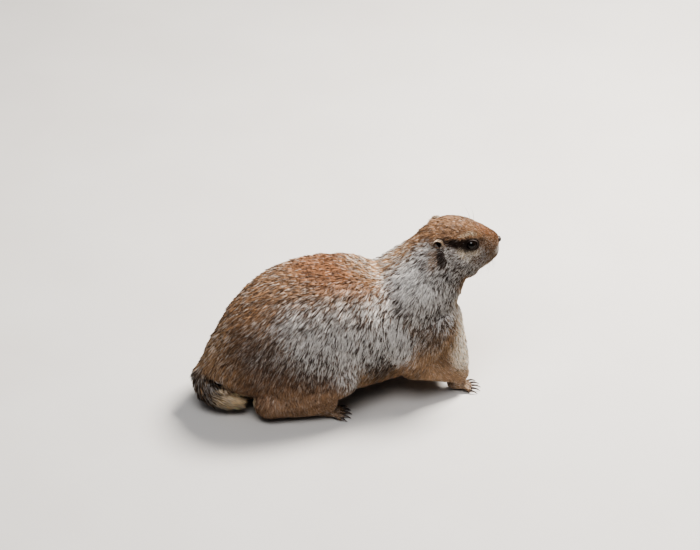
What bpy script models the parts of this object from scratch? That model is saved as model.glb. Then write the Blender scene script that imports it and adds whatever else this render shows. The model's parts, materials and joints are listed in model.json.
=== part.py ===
"""Life-size still model of a crouching prairie dog, in metres, +Z up.

The nose points along +X and the animal's left side is +Y. The body is modelled as
overlapping masses of flesh out to the tips of the short coat, fused into one skin, and
then parted with thin cuts into the pieces that a person would name. Sizes below are in
millimetres, and mm() turns them into metres.
"""

import math

import bmesh
import bpy
import numpy as np
from mathutils import Matrix, Vector

# Clearances and fineness
GAP = 0.3  # between pieces that touch
FUSE_STEP = 1.7  # voxel of the fused skin
EVEN_TRIANGLES = 7800  # of the fused skin while the head and the body are equally fine
SKIN_TRIANGLES = 3300  # once the body alone is thinned further
RIGHT, LEFT = -1, 1

# Finishes: colour, roughness and metallic value, and the pieces that have each
FINISHES = {
    "back_coat": ((0.36, 0.25, 0.17), 0.95, 0, ("torso", "neck", "thigh", "upper_arm")),
    "head_coat": ((0.38, 0.26, 0.18), 0.95, 0, ("head",)),
    "limb_coat": ((0.55, 0.38, 0.23), 0.95, 0, ("shank", "forearm", "hind_foot", "forepaw", "tail_root")),
    "dark_tail_coat": ((0.12, 0.08, 0.06), 0.95, 0, ("tail_middle",)),
    "pale_tail_coat": ((0.72, 0.62, 0.47), 0.95, 0, ("tail_tip",)),
    "ear_skin": ((0.45, 0.32, 0.24), 0.8, 0, ("ear",)),
    "nose_skin": ((0.10, 0.06, 0.05), 0.45, 0, ("nose",)),
    "eye_surface": ((0.015, 0.009, 0.006), 0.05, 0, ("eye",)),
}

# The trunk: place along X, height of the back, height of the belly, half width
TRUNK = (
    (-128, 41, 27, 6),
    (-122, 50, 24, 15),
    (-109, 70, 19, 29),
    (-90, 95, 14, 43),
    (-62, 117, 9, 52),
    (-30, 126, 8, 54),
    (4, 125, 10, 52),
    (30, 117, 12, 45),
    (56, 106, 15, 40),
    (78, 92, 18, 34),
    (94, 78, 22, 28),
    (101, 64, 34, 16),
)
TRUNK_WIDEST = 0.42  # height of the widest place, as a share of the section's height
SEAT = (-90, 5, 13), (20, 21, 12)  # centre and radii of the rump's underside

# The neck, along its own slanting axis: place, half width, depth behind, depth in front
NECK_ROOT, NECK_TOP = (44, 0, 76), (90, -4, 133)
NECK = (
    (-14, 36, 38, 30),
    (12, 39, 40, 38),
    (32, 36, 35, 40),
    (48, 31, 30, 35),
    (64, 27, 26, 30),
    (80, 22, 18, 23),
)

# The head, in its own frame: the origin lies between the eyes, +X runs to the nose.
# Place, height of the crown, depth of the jaw, half width
HEAD_PLACE = (109, -6, 143.5)
HEAD_TURN = math.radians(-12)
HEAD = (
    (-48, -7, -24, 13),
    (-42, 1, -30, 20),
    (-32, 9, -34, 24),
    (-20, 14.2, -36, 24),
    (-8, 14.6, -35.5, 21.5),
    (2, 11.2, -33.5, 18.8),
    (10, 7.4, -30.5, 16.2),
    (17, 3.8, -26.5, 12.8),
    (22, 0.5, -22, 9.6),
    (25, -2.8, -17.0, 6),
)
HEAD_WIDEST = 0.40
FINE_MIDDLE, FINE_REACH = (101, -6, 133.5), 47  # round the head, where the skin is kept finer

# Masses on each side of the head: centre, with its Y for the left side, and radii
CHEEK = (-13, 13.5, -17), (17, 12.5, 15)
JOWL = (-4, 9.5, -26), (13, 10, 10.5)
THROAT = (-3, 0, -27), (15, 13, 10)
BROW = (-1, 10.4, 1.4), (9.5, 5.2, 4.0)
WHISKER_PAD = (15.0, 6.2, -14.0), (9.2, 5.6, 7.0)
LOWER_LIP = (11.5, 0, -24.0), (8.5, 6.4, 5.4)

# Face: eyes and lids, ears, nose and mouth
EYE_PLACE = (0.8, 12.4, -2.6)
EYE_RADIUS = 6.0
LID_THICKNESS = 1.3
LID_OPENING = (5.2, 6.5, 3.8)  # half its length, depth and height
LID_OPENING_SHIFT = (0.6, 4.6)  # forwards and outwards from the middle of the eye
LID_RISE, LID_TOE_IN = -9, -14  # how the opening slants, in degrees
EAR_PLACE = (-28.5, 19.6, 0.6)
EAR_SIZE = (5.4, 3.0, 5.3)  # half its length, thickness and height
EAR_CUP = (4.0, 2.6, 4.1)
EAR_CUP_SHIFT = (0.7, 2.2, -0.3)
EAR_SPLAY, EAR_LEAN = 24, -14  # degrees
NOSE_PLACE = (24.2, 0, -5.4)
NOSE_SIZE = (2.9, 3.7, 2.8)
NOSTRIL_SIZE = (1.6, 0.65, 1.05)
NOSTRIL_SHIFT = (1.9, 1.75, -0.3)  # from the middle of the nose
NOSTRIL_SPLAY = 38  # degrees
MOUTH_HEIGHT = -20.4  # of the line between the lips, at the front
MOUTH_CORNER_DROP = 2.2  # how much lower its corners lie
MOUTH_MIDDLE = 10.0  # the middle of the curve that it follows round the muzzle
MOUTH_SWING = 100  # how far round it runs, in degrees, to each side
LIP_GROOVE = (1.4, 0.7)  # depth and width
LIP_STEPS = 12  # along each side
LIP_FADE = 0.6  # share of the depth that is lost at its corners

# Haunch and hind leg, for the left side
HAUNCH_CENTRE, HAUNCH_RADII = (-38, 34, 52), (43, 22, 44)
HAUNCH_LEAN, HAUNCH_SPLAY = -14, -8  # degrees
KNEE, ANKLE, SHANK_RADII = (-14, 42, 38), (-56, 38, 19), (17, 15)
HOCK, INSTEP, INSTEP_RADII = (-74, 36, 16), (-27, 42, 14), (14, 11.5)
HEEL, HIND_BALL = (-67, 33, 7.5), (-23, 43, 5.6)
HIND_RADII = (8.0, 6.8)

# Shoulder, forelimb and forepaw, for the left side
SHOULDER, ELBOW, WRIST = (74, 25, 64), (52, 35, 37), (95, 27, 17)
ARM_RADII, FOREARM_RADII = (19, 13), (13, 10)
BREAST_TOP, BREAST_FOOT, BREAST_RADII = (84, 16, 72), (94, 25, 28), (15, 11)
FOREPAW_HEEL, FORE_BALL = (89, 27, 7.4), (98, 28, 5.6)
FORE_RADII = (7.6, 6.6)

# Toes: how many, their length and radius, the width that they fan across, claw length
HIND_TOES = (5, 11.0, 2.5, 15.0, 6.5)
FORE_TOES = (5, 8.5, 2.3, 13.0, 8.0)
TOE_FAN = 15  # degrees that the outer toes turn away
TOE_ROOT, TOE_KNUCKLE = 4.6, 4.3  # heights above the floor
OUTER_TOE_SHORTER = 0.22  # share of its length
TOE_SPREAD = 0.72  # share of the fan's width at the roots
CLAW_ROOT, CLAW_THICKNESS, CLAW_TIP = 1.2, 0.5, (0.45, 0.75)
POCKET_MARGIN, POCKET_STEP, POCKET_TRIANGLES = 0.25, 0.8, 360

# Tail, from its root at the rump, round to the animal's right, held just clear of the floor
TAIL_ROUTE = (
    (-115, 1, 39),
    (-124.5, -1, 31),
    (-125, -8, 22),
    (-114.5, -17, 16.5),
    (-97, -22, 12),
)
TAIL_RADII = (10.5, 9.8, 9.6, 9.2, 6.4)

# Where the skin is parted: a point on each cut, and the way that it faces
HEAD_CUT = (80, 0, 127), (50, -11, 40)
NECK_CUT = (66, 0, 97), (45, 0, 65)
TAIL_CUT = (-116, 0, 42), (-10, 0, -3)
KNEE_CUT = (-36, 0, 36), (-10, 0, 97)
ELBOW_CUT = (52, 0, 37), (-23, 0, 97)
LEG_MARGIN = 6  # how far the cuts round the legs run outside their muscles
CUTTER_STEP = 3  # voxel of those cutters
CUTTER_TRIANGLES = 420
FUSE_ROUNDS, CUTTER_ROUNDS, POCKET_ROUNDS = 9, 6, 2  # of smoothing
CREASE = math.radians(50)  # where shading turns sharp, at the rims of the cuts


def mm(*values):
    """A length, or a point, given in millimetres, in metres."""
    return values[0] * 0.001 if len(values) == 1 else Vector(values) * 0.001


def mirrored(point, side):
    """The point with its Y on the given side of the animal."""
    return (point[0], point[1] * side, point[2])


def through(knots, count):
    """Rows read evenly from a smooth curve through the knots, which are rows of numbers."""
    rows = np.array(knots, float)
    padded = np.vstack([2 * rows[0] - rows[1], rows, 2 * rows[-1] - rows[-2]])
    read = []
    for place in np.linspace(0, len(rows) - 1, count):
        k = min(int(place), len(rows) - 2)
        t = place - k
        a, b, c, d = padded[k : k + 4]
        read.append(
            0.5
            * (
                2 * b
                + (c - a) * t
                + (2 * a - 5 * b + 4 * c - d) * t**2
                + (3 * b - a - 3 * c + d) * t**3
            )
        )
    return read


def new_object(name, bm):
    """An object of the bmesh, with its faces pointing out."""
    bmesh.ops.recalc_face_normals(bm, faces=bm.faces)
    mesh = bpy.data.meshes.new(name)
    bm.to_mesh(mesh)
    bm.free()
    made = bpy.data.objects.new(name, mesh)
    bpy.context.scene.collection.objects.link(made)
    return made


def remove(*objects):
    for thing in objects:
        bpy.data.objects.remove(thing)


def loft(name, rings):
    """A closed tube through rings of points, each end closed to a point at its middle."""
    bm = bmesh.new()
    loops = [[bm.verts.new(point) for point in ring] for ring in rings]
    for near, far in zip(loops, loops[1:]):
        for k in range(len(near)):
            n = (k + 1) % len(near)
            bm.faces.new((near[k], near[n], far[n], far[k]))
    for loop in (loops[0], loops[-1]):
        middle = bm.verts.new(sum((v.co for v in loop), Vector()) / len(loop))
        for k in range(len(loop)):
            bm.faces.new((loop[k], loop[(k + 1) % len(loop)], middle))
    return new_object(name, bm)


def section(centre, across, up, half_width, rise, drop, sides=40, fullness=2.25):
    """A ring round centre that is a little squarer than an ellipse, with its own rise and drop."""
    ring = []
    for k in range(sides):
        angle = 2 * math.pi * k / sides
        c, s = math.cos(angle), math.sin(angle)
        wide = math.copysign(abs(c) ** (2 / fullness), c) * half_width
        high = math.copysign(abs(s) ** (2 / fullness), s) * (rise if s > 0 else drop)
        ring.append(centre + across * wide + up * high)
    return ring


def long_form(name, profile, widest, count, place=Matrix.Identity(4)):
    """A body along X from rows of place, top, bottom and half width, moved to its place."""
    rings = []
    for x, top, bottom, half_width in through(profile, count):
        middle = bottom + widest * (top - bottom)
        centre = mm(x, 0, middle)
        ring = section(
            centre,
            Vector((0, 1, 0)),
            Vector((0, 0, 1)),
            mm(half_width),
            mm(top - middle),
            mm(middle - bottom),
        )
        rings.append([place @ point for point in ring])
    return loft(name, rings)


def limb(name, route, radii, sides=20, grow=0.0, steps=6, caps=(0.98, 0.84, 0.55, 0.2)):
    """A round-ended tube along a smooth route, with a radius at each of its points."""
    rows = through([(*p, r) for p, r in zip(route, radii)], steps * (len(route) - 1) + 1)
    points = [mm(*row[:3]) for row in rows]
    sizes = [mm(row[3] + grow) for row in rows]
    first = (points[1] - points[0]).normalized()
    last = (points[-1] - points[-2]).normalized()
    stations = [
        (points[0] - first * sizes[0] * b, sizes[0] * math.sqrt(1 - b * b), first) for b in caps
    ]
    for k, point in enumerate(points):
        ahead = points[min(k + 1, len(points) - 1)] - points[max(k - 1, 0)]
        stations.append((point, sizes[k], ahead.normalized()))
    stations += [
        (points[-1] + last * sizes[-1] * b, sizes[-1] * math.sqrt(1 - b * b), last)
        for b in reversed(caps)
    ]
    rings = []
    for point, size, ahead in stations:
        across = Vector((0, 0, 1)).cross(ahead)
        across = across.normalized() if across.length > 1e-6 else Vector((0, 1, 0))
        rings.append(section(point, across, ahead.cross(across), size, size, size, sides, 2))
    return loft(name, rings)


def ball(name, centre, radii, turn=Matrix.Identity(4), finer=4):
    """An ellipsoid of even triangles."""
    bm = bmesh.new()
    bmesh.ops.create_icosphere(bm, subdivisions=finer, radius=1)
    stretch = Matrix.Diagonal((*mm(*radii), 1))
    bmesh.ops.transform(bm, matrix=Matrix.Translation(mm(*centre)) @ turn @ stretch, verts=bm.verts)
    return new_object(name, bm)


def bake(thing):
    """Applies the object's modifiers to its mesh."""
    graph = bpy.context.evaluated_depsgraph_get()
    mesh = bpy.data.meshes.new_from_object(thing.evaluated_get(graph))
    thing.modifiers.clear()
    old = thing.data
    thing.data = mesh
    bpy.data.meshes.remove(old)
    return thing


def joined(name, masses):
    """The masses in one mesh, still overlapping."""
    bm = bmesh.new()
    for mass in masses:
        bm.from_mesh(mass.data)
    made = new_object(name, bm)
    remove(*masses)
    return made


def copy_of(thing, name):
    """A copy of the object with its own mesh."""
    made = bpy.data.objects.new(name, thing.data.copy())
    bpy.context.scene.collection.objects.link(made)
    return made


def swollen(thing, by):
    """A copy of the object grown outwards everywhere, to cut its neighbour with a clearance."""
    made = copy_of(thing, thing.name + "_swollen")
    grow = made.modifiers.new("grow", "DISPLACE")
    grow.strength, grow.mid_level = mm(by), 0
    return bake(made)


def cut(thing, cutter, operation):
    """One Boolean of the thing with the cutter, applied."""
    boolean = thing.modifiers.new(operation.lower(), "BOOLEAN")
    boolean.operation, boolean.solver, boolean.object = operation, "EXACT", cutter
    return bake(thing)


def united(name, base, pieces):
    """One Boolean union of the base with a collection of closed pieces."""
    group = bpy.data.collections.new(name + "_pieces")
    for piece in pieces:
        group.objects.link(piece)
    boolean = base.modifiers.new("union", "BOOLEAN")
    boolean.operation, boolean.solver = "UNION", "EXACT"
    boolean.operand_type, boolean.collection = "COLLECTION", group
    bake(base)
    remove(*pieces)
    bpy.data.collections.remove(group)
    base.name = name
    return keep_largest(base)


def keep_largest(thing):
    """Drops every loose scrap, so that the piece is one closed surface."""
    bm = bmesh.new()
    bm.from_mesh(thing.data)
    left, islands = set(bm.verts), []
    while left:
        todo, island = [left.pop()], []
        while todo:
            vert = todo.pop()
            island.append(vert)
            for edge in vert.link_edges:
                other = edge.other_vert(vert)
                if other in left:
                    left.remove(other)
                    todo.append(other)
        islands.append(island)
    islands.sort(key=len)
    bmesh.ops.delete(bm, geom=[v for island in islands[:-1] for v in island], context="VERTS")
    bm.to_mesh(thing.data)
    bm.free()
    return thing


def halved(thing, point, normal, gap=GAP):
    """Keeps what lies on the normal's side of a plane, half a gap back from it, and caps it."""
    bm = bmesh.new()
    bm.from_mesh(thing.data)
    normal = Vector(normal).normalized()
    cut_at = mm(*point) + normal * mm(gap / 2)
    geometry = bm.verts[:] + bm.edges[:] + bm.faces[:]
    bmesh.ops.bisect_plane(bm, geom=geometry, plane_co=cut_at, plane_no=normal, clear_inner=True)
    rim = [edge for edge in bm.edges if edge.is_boundary]
    bmesh.ops.holes_fill(bm, edges=rim, sides=0)
    bmesh.ops.triangulate(bm, faces=[f for f in bm.faces if len(f.verts) > 3])
    bm.to_mesh(thing.data)
    bm.free()
    return thing


def stand_on_floor(thing):
    """Trims what reaches below the floor, which leaves small flats at its level."""
    return halved(thing, (0, 0, 0), (0, 0, 1), gap=0)


def head_matrix():
    """From the head's own frame to the animal's."""
    return Matrix.Translation(mm(*HEAD_PLACE)) @ Matrix.Rotation(HEAD_TURN, 4, "Z")


def on_head(thing):
    """Moves a piece from the head's own frame to the animal's."""
    thing.data.transform(head_matrix())
    return thing


def flesh_of_head():
    """Skull, cheeks, jowls, whisker pads and lower lip as overlapping masses."""
    masses = [long_form("skull", HEAD, HEAD_WIDEST, 40)]
    masses += [ball("lower_lip", *LOWER_LIP), ball("throat", *THROAT)]
    for side in (RIGHT, LEFT):
        for centre, radii in (CHEEK, JOWL, BROW, WHISKER_PAD):
            masses.append(ball("face_mass", mirrored(centre, side), radii))
    return [on_head(mass) for mass in masses]


def flesh_of_neck():
    """The neck, from inside the shoulders to inside the back of the head."""
    root, top = mm(*NECK_ROOT), mm(*NECK_TOP)
    ahead = (top - root).normalized()
    across = Vector((0, 0, 1)).cross(ahead).normalized()
    up = ahead.cross(across)
    rings = [
        section(root + ahead * mm(at), across, up, mm(wide), mm(behind), mm(before), fullness=2)
        for at, wide, behind, before in through(NECK, 30)
    ]
    return loft("neck_mass", rings)


def side_limb(name, points, radii, side, **how):
    """A limb between points that are given for the left side."""
    return limb(name, [mirrored(point, side) for point in points], radii, **how)


def haunch(name, side, grow=0.0, outwards=0.0, finer=4):
    """The haunch's ellipsoid, leaning back a little."""
    x, y, z = HAUNCH_CENTRE
    lean = Matrix.Rotation(math.radians(HAUNCH_LEAN), 4, "Y")
    splay = Matrix.Rotation(math.radians(HAUNCH_SPLAY * side), 4, "Z")
    radii = [radius + grow for radius in HAUNCH_RADII]
    return ball(name, (x, (y + outwards) * side, z), radii, lean @ splay, finer)


def flesh_of_side(side):
    """Haunch, shank, instep, shoulder, upper arm, forearm and the side of the breast."""
    return [
        haunch("haunch", side),
        side_limb("shank", (KNEE, ANKLE), SHANK_RADII, side),
        side_limb("instep", (HOCK, INSTEP), INSTEP_RADII, side),
        side_limb("arm", (SHOULDER, ELBOW), ARM_RADII, side),
        side_limb("forearm", (ELBOW, WRIST), FOREARM_RADII, side),
        side_limb("breast", (BREAST_TOP, BREAST_FOOT), BREAST_RADII, side),
    ]


def mark_body(thing):
    """Groups the vertices away from the head, so that only they are thinned further."""
    group = thing.vertex_groups.new(name="body")
    middle = mm(*FINE_MIDDLE)
    outside = [v.index for v in thing.data.vertices if (v.co - middle).length > mm(FINE_REACH)]
    group.add(outside, 1.0, "REPLACE")
    return group.name


def thinned(thing, share, group=""):
    """Collapses the thing to a share of its triangles, within a vertex group if one is named."""
    thin = thing.modifiers.new("thin", "DECIMATE")
    thin.vertex_group, thin.ratio, thin.use_collapse_triangulate = group, share, True
    return bake(thing)


def remeshed(thing, step, rounds):
    """One skin round overlapping closed surfaces, smoothed the given number of times."""
    remesh = thing.modifiers.new("fuse", "REMESH")
    remesh.mode, remesh.voxel_size = "VOXEL", mm(step)
    smooth = thing.modifiers.new("smooth", "SMOOTH")
    smooth.factor, smooth.iterations = 0.5, rounds
    return bake(thing)


def fused(name, masses):
    """One smooth skin round overlapping masses, thinned to its triangle count."""
    skin = remeshed(joined(name, masses), FUSE_STEP, FUSE_ROUNDS)
    thinned(skin, EVEN_TRIANGLES / (2 * len(skin.data.polygons)))
    return thinned(skin, SKIN_TRIANGLES / len(skin.data.polygons), mark_body(skin))


def carved(thing, cutter):
    """The thing with the cutter taken away, and the cutter removed."""
    cut(thing, cutter, "DIFFERENCE")
    remove(cutter)
    return thing


def parted(skin, name, inside, outside):
    """Parts off what lies inside one cutter; the larger cutter clears it from the skin."""
    piece = cut(copy_of(skin, name), inside, "INTERSECT")
    cut(skin, outside, "DIFFERENCE")
    remove(inside, outside)
    keep_largest(skin)
    return keep_largest(piece)


def finish(pieces):
    """Gives every piece its material and smooth shading, up to the rims of its cuts."""
    for slot, (colour, roughness, metallic, names) in FINISHES.items():
        material = bpy.data.materials.new(slot)
        material.use_nodes = True
        surface = material.node_tree.nodes["Principled BSDF"]
        surface.inputs["Base Color"].default_value = (*colour, 1)
        surface.inputs["Roughness"].default_value = roughness
        surface.inputs["Metallic"].default_value = metallic
        for piece in pieces:
            if piece.name in names or piece.name.rsplit("_", 1)[0] in names:
                piece.data.materials.clear()
                piece.data.materials.append(material)
                piece.data.shade_smooth()
                piece.data.set_sharp_from_angle(angle=CREASE)


def centre(pieces):
    """Puts the origin under the middle of the whole, at floor level."""
    corners = [vert.co for piece in pieces for vert in piece.data.vertices]
    middle = [(min(c[i] for c in corners) + max(c[i] for c in corners)) / 2 for i in (0, 1)]
    for piece in pieces:
        piece.data.transform(Matrix.Translation((-middle[0], -middle[1], 0)))


def side_name(name, side):
    return f"{name}_{'right' if side == RIGHT else 'left'}"


def leg_cutter(masses):
    """One smooth, coarse cutter round overlapping masses."""
    cutter = remeshed(joined("leg_cutter", masses), CUTTER_STEP, CUTTER_ROUNDS)
    return thinned(cutter, CUTTER_TRIANGLES / (2 * len(cutter.data.polygons)))


def part_leg(skin, side, cutter, cut_at, upper, lower):
    """Parts a leg off the skin and parts it again at its middle joint."""
    inside = swollen(cutter, -GAP)
    leg = parted(skin, side_name(upper, side), inside, cutter)
    foot_end = copy_of(leg, side_name(lower, side))
    halved(leg, *cut_at)
    halved(foot_end, cut_at[0], [-n for n in cut_at[1]])
    keep_largest(leg)
    keep_largest(foot_end)


def part_legs(skin, side):
    """Parts both legs of one side off the skin, along the lines of their muscles."""
    grown = {"grow": LEG_MARGIN}
    haunch_masses = [
        haunch("thigh_cutter", side, LEG_MARGIN - 1, 4),
        side_limb("shank_cutter", (KNEE, ANKLE), SHANK_RADII, side, **grown),
        side_limb("instep_cutter", (HOCK, INSTEP), INSTEP_RADII, side, **grown),
    ]
    part_leg(skin, side, leg_cutter(haunch_masses), KNEE_CUT, "thigh", "shank")
    arm_masses = [
        side_limb("arm_cutter", (SHOULDER, ELBOW), ARM_RADII, side, **grown),
        side_limb("forearm_cutter", (ELBOW, WRIST), FOREARM_RADII, side, **grown),
    ]
    part_leg(skin, side, leg_cutter(arm_masses), ELBOW_CUT, "upper_arm", "forearm")


def claw(tip, ahead, length, radius, grow):
    """A curved claw from the tip of a toe down to the floor."""
    end_radius, end_height = CLAW_TIP
    heights = (tip[2] + 0.4, tip[2] + 0.5, end_height)
    places = (-CLAW_ROOT, length * 0.5, length)
    route = [
        (tip[0] + ahead[0] * at, tip[1] + ahead[1] * at, z) for at, z in zip(places, heights)
    ]
    sizes = (radius, radius * 0.8, end_radius)
    return limb("claw", route, sizes, sides=5, grow=grow, steps=1, caps=(0.6,))


def sole_and_toes(side, heel, front, radii, toes, grow=0.0):
    """A paw's sole, and the toes that fan out from its ball with their claws."""
    count, length, radius, width, claw_length = toes
    heel, front = mirrored(heel, side), mirrored(front, side)
    heading = math.atan2(front[1] - heel[1], front[0] - heel[0])
    across = (-math.sin(heading), math.cos(heading))
    pieces = []
    for k in range(count):
        fan = 2 * k / (count - 1) - 1
        turn = heading + math.radians(TOE_FAN) * fan
        ahead = (math.cos(turn), math.sin(turn))
        reach = length * (1 - OUTER_TOE_SHORTER * fan * fan)
        root = [front[i] + across[i] * fan * width / 2 * TOE_SPREAD for i in (0, 1)]
        knuckle = [root[i] + ahead[i] * reach * 0.55 for i in (0, 1)]
        tip = [root[i] + ahead[i] * reach for i in (0, 1)]
        route = [(*root, TOE_ROOT), (*knuckle, TOE_KNUCKLE), (*tip, radius * 0.95)]
        sizes = (radius * 1.1, radius, radius * 0.9)
        pieces.append(limb("toe", route, sizes, sides=6, grow=grow, steps=1, caps=(0.75,)))
        pieces.append(claw(route[-1], ahead, claw_length, radius * CLAW_THICKNESS, grow))
    sole = limb("sole", (heel, front), radii, sides=14, grow=grow, steps=2, caps=(0.9, 0.5))
    return sole, pieces


def make_paws(skin):
    """Both pairs of paws, flat on the floor, each in its own pocket in the skin."""
    for side in (RIGHT, LEFT):
        for name, *form in (
            ("hind_foot", HEEL, HIND_BALL, HIND_RADII, HIND_TOES),
            ("forepaw", FOREPAW_HEEL, FORE_BALL, FORE_RADII, FORE_TOES),
        ):
            stand_on_floor(united(side_name(name, side), *sole_and_toes(side, *form)))
            sole, toes = sole_and_toes(side, *form, grow=GAP + POCKET_MARGIN)
            pocket = remeshed(joined("pocket", [sole, *toes]), POCKET_STEP, POCKET_ROUNDS)
            carved(skin, thinned(pocket, POCKET_TRIANGLES / (2 * len(pocket.data.polygons))))


def ear(side):
    """A low round ear with its cup open outwards and forwards."""
    splay = Matrix.Rotation(math.radians(EAR_SPLAY * side), 4, "Z")
    lean = splay @ Matrix.Rotation(math.radians(EAR_LEAN), 4, "Y")
    x, y, z = mirrored(EAR_PLACE, side)
    shell = ball(side_name("ear", side), (x, y, z), EAR_SIZE, lean, finer=3)
    dx, dy, dz = mirrored(EAR_CUP_SHIFT, side)
    cup = ball("cup", (x + dx, y + dy, z + dz), EAR_CUP, lean, finer=2)
    return on_head(shell), on_head(cup)


def mouth_line(head):
    """A thin cutter that follows the muzzle round, for the line between the lips."""
    depth, width = LIP_GROOVE
    place = head_matrix()
    rings = []
    for step in range(-LIP_STEPS, LIP_STEPS + 1):
        share = step / LIP_STEPS
        swing = math.radians(MOUTH_SWING * share)
        height = MOUTH_HEIGHT - MOUTH_CORNER_DROP * share * share
        ahead = place.to_3x3() @ Vector((math.cos(swing), math.sin(swing), 0))
        start = place @ mm(MOUTH_MIDDLE, 0, height)
        hit, surface, _, _ = head.ray_cast(start, ahead)
        shallow = 1 - LIP_FADE * abs(share) ** 3
        inner = surface - ahead * mm(depth * shallow)
        outer = surface + ahead * mm(3)
        up = Vector((0, 0, mm(width / 2)))
        rings.append([inner + up, outer + up, outer - up, inner - up])
    return loft("mouth_line", rings)


def finish_head(head):
    """Sets eyes, lids, ears, nose, nostrils and the lips' line into the parted head."""
    keep_largest(carved(head, mouth_line(head)))
    lids, sockets = [], []
    for side in (RIGHT, LEFT):
        place = mirrored(EYE_PLACE, side)
        lids.append(on_head(ball("lids", place, [EYE_RADIUS + LID_THICKNESS] * 3, finer=3)))
        sockets.append(on_head(ball("socket", place, [EYE_RADIUS + GAP] * 3, finer=3)))
        on_head(ball(side_name("eye", side), place, [EYE_RADIUS] * 3, finer=3))
        x, y, z = place
        ahead, outwards = LID_OPENING_SHIFT
        rise = Matrix.Rotation(math.radians(LID_RISE), 4, "Y")
        slant = rise @ Matrix.Rotation(math.radians(LID_TOE_IN * side), 4, "Z")
        opening = ball("opening", (x + ahead, y + outwards * side, z), LID_OPENING, slant, finer=3)
        sockets.append(on_head(opening))
    united("head", head, lids)
    for cutter in sockets:
        carved(head, cutter)
    for side in (RIGHT, LEFT):
        shell, cup = ear(side)
        carved(head, swollen(shell, GAP))
        carved(shell, cup)
    nose = on_head(ball("nose", NOSE_PLACE, NOSE_SIZE, finer=3))
    carved(head, on_head(ball("nose_bed", NOSE_PLACE, [r + GAP for r in NOSE_SIZE], finer=2)))
    for side in (RIGHT, LEFT):
        splay = Matrix.Rotation(math.radians(NOSTRIL_SPLAY * side), 4, "Z")
        place = [a + b for a, b in zip(NOSE_PLACE, mirrored(NOSTRIL_SHIFT, side))]
        carved(nose, on_head(ball("nostril", place, NOSTRIL_SIZE, splay, finer=2)))
    keep_largest(head)


def make_tail(skin):
    """Parts the tail's root off the skin, and lays the dark length and the pale tip against it."""
    root = halved(copy_of(skin, "tail_root"), *TAIL_CUT)
    halved(skin, TAIL_CUT[0], [-n for n in TAIL_CUT[1]])
    bend, turn = TAIL_ROUTE[1:3]
    along = [b - a for a, b in zip(TAIL_ROUTE[0], turn)]
    halved(root, bend, [-n for n in along])
    tail = limb("tail_middle", TAIL_ROUTE[1:], TAIL_RADII[1:], sides=16, steps=3)
    halved(tail, bend, along)
    middle = TAIL_ROUTE[3]
    onwards = [b - a for a, b in zip(turn, TAIL_ROUTE[4])]
    tip = halved(copy_of(tail, "tail_tip"), middle, onwards)
    halved(tail, middle, [-n for n in onwards])
    for piece in (tail, tip):
        carved(piece, swollen(skin, GAP))
    for piece in (root, tail, tip):
        keep_largest(piece)


def main():
    """Builds every piece of the animal."""
    for thing in list(bpy.data.objects):
        bpy.data.objects.remove(thing)
    masses = [long_form("trunk", TRUNK, TRUNK_WIDEST, 60), ball("seat", *SEAT), flesh_of_neck()]
    masses += flesh_of_head()
    for side in (RIGHT, LEFT):
        masses += flesh_of_side(side)
    masses.append(limb("tail_mass", TAIL_ROUTE[:3], TAIL_RADII[:3]))
    skin = fused("torso", masses)
    make_tail(skin)
    neck = halved(copy_of(skin, "neck"), *NECK_CUT)
    halved(skin, NECK_CUT[0], [-n for n in NECK_CUT[1]])
    head = halved(copy_of(neck, "head"), *HEAD_CUT)
    keep_largest(halved(neck, HEAD_CUT[0], [-n for n in HEAD_CUT[1]]))
    finish_head(keep_largest(head))
    make_paws(skin)
    for side in (RIGHT, LEFT):
        part_legs(skin, side)
    finish(bpy.data.objects)
    centre(bpy.data.objects)


main()
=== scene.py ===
"""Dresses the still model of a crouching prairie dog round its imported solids.

One skin stands for every fleshy piece and lies inside it by the depth of the coat. The coat
grows on that skin as joined meshes of small solid tufts, combed along the lie of the hair.
Eyes, lids, nose, lips, ears, whiskers and claws are pieces of their own. Places are those of
the solids: millimetres on the body or on the head, turned into metres by mm().
"""

from __future__ import annotations

import json
import logging
import math
from collections.abc import Callable, Iterable, Iterator, Sequence
from dataclasses import dataclass, field
from enum import Enum
from typing import NamedTuple

import bmesh
import bpy
import numpy as np
from mathutils import Matrix, Vector
from mathutils.bvhtree import BVHTree
from mathutils.kdtree import KDTree

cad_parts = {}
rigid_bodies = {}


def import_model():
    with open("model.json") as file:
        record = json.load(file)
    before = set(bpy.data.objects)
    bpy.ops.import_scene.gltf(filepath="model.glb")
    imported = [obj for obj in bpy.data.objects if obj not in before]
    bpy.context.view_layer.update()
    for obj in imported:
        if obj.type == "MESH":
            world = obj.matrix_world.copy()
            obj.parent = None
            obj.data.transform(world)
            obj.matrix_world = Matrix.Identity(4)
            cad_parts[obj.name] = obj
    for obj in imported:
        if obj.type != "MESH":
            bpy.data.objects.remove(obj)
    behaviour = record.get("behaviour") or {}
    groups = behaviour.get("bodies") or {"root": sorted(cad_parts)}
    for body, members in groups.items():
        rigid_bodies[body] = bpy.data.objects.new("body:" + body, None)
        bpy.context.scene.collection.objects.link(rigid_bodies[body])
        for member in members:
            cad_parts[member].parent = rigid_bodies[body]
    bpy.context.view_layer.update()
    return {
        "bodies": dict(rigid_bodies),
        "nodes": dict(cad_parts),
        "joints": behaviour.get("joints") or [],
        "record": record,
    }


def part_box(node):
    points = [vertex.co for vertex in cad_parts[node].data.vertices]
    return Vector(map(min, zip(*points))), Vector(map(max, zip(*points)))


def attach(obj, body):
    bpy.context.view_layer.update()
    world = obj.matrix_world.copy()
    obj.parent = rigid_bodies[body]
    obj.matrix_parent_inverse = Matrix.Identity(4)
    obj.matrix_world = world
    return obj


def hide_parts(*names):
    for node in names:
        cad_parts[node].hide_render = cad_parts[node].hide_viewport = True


LOG = logging.getLogger("prairie_dog")
ROOT_BODY = "root"
RIGHT, LEFT = -1, 1
SIDES = (RIGHT, LEFT)
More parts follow.
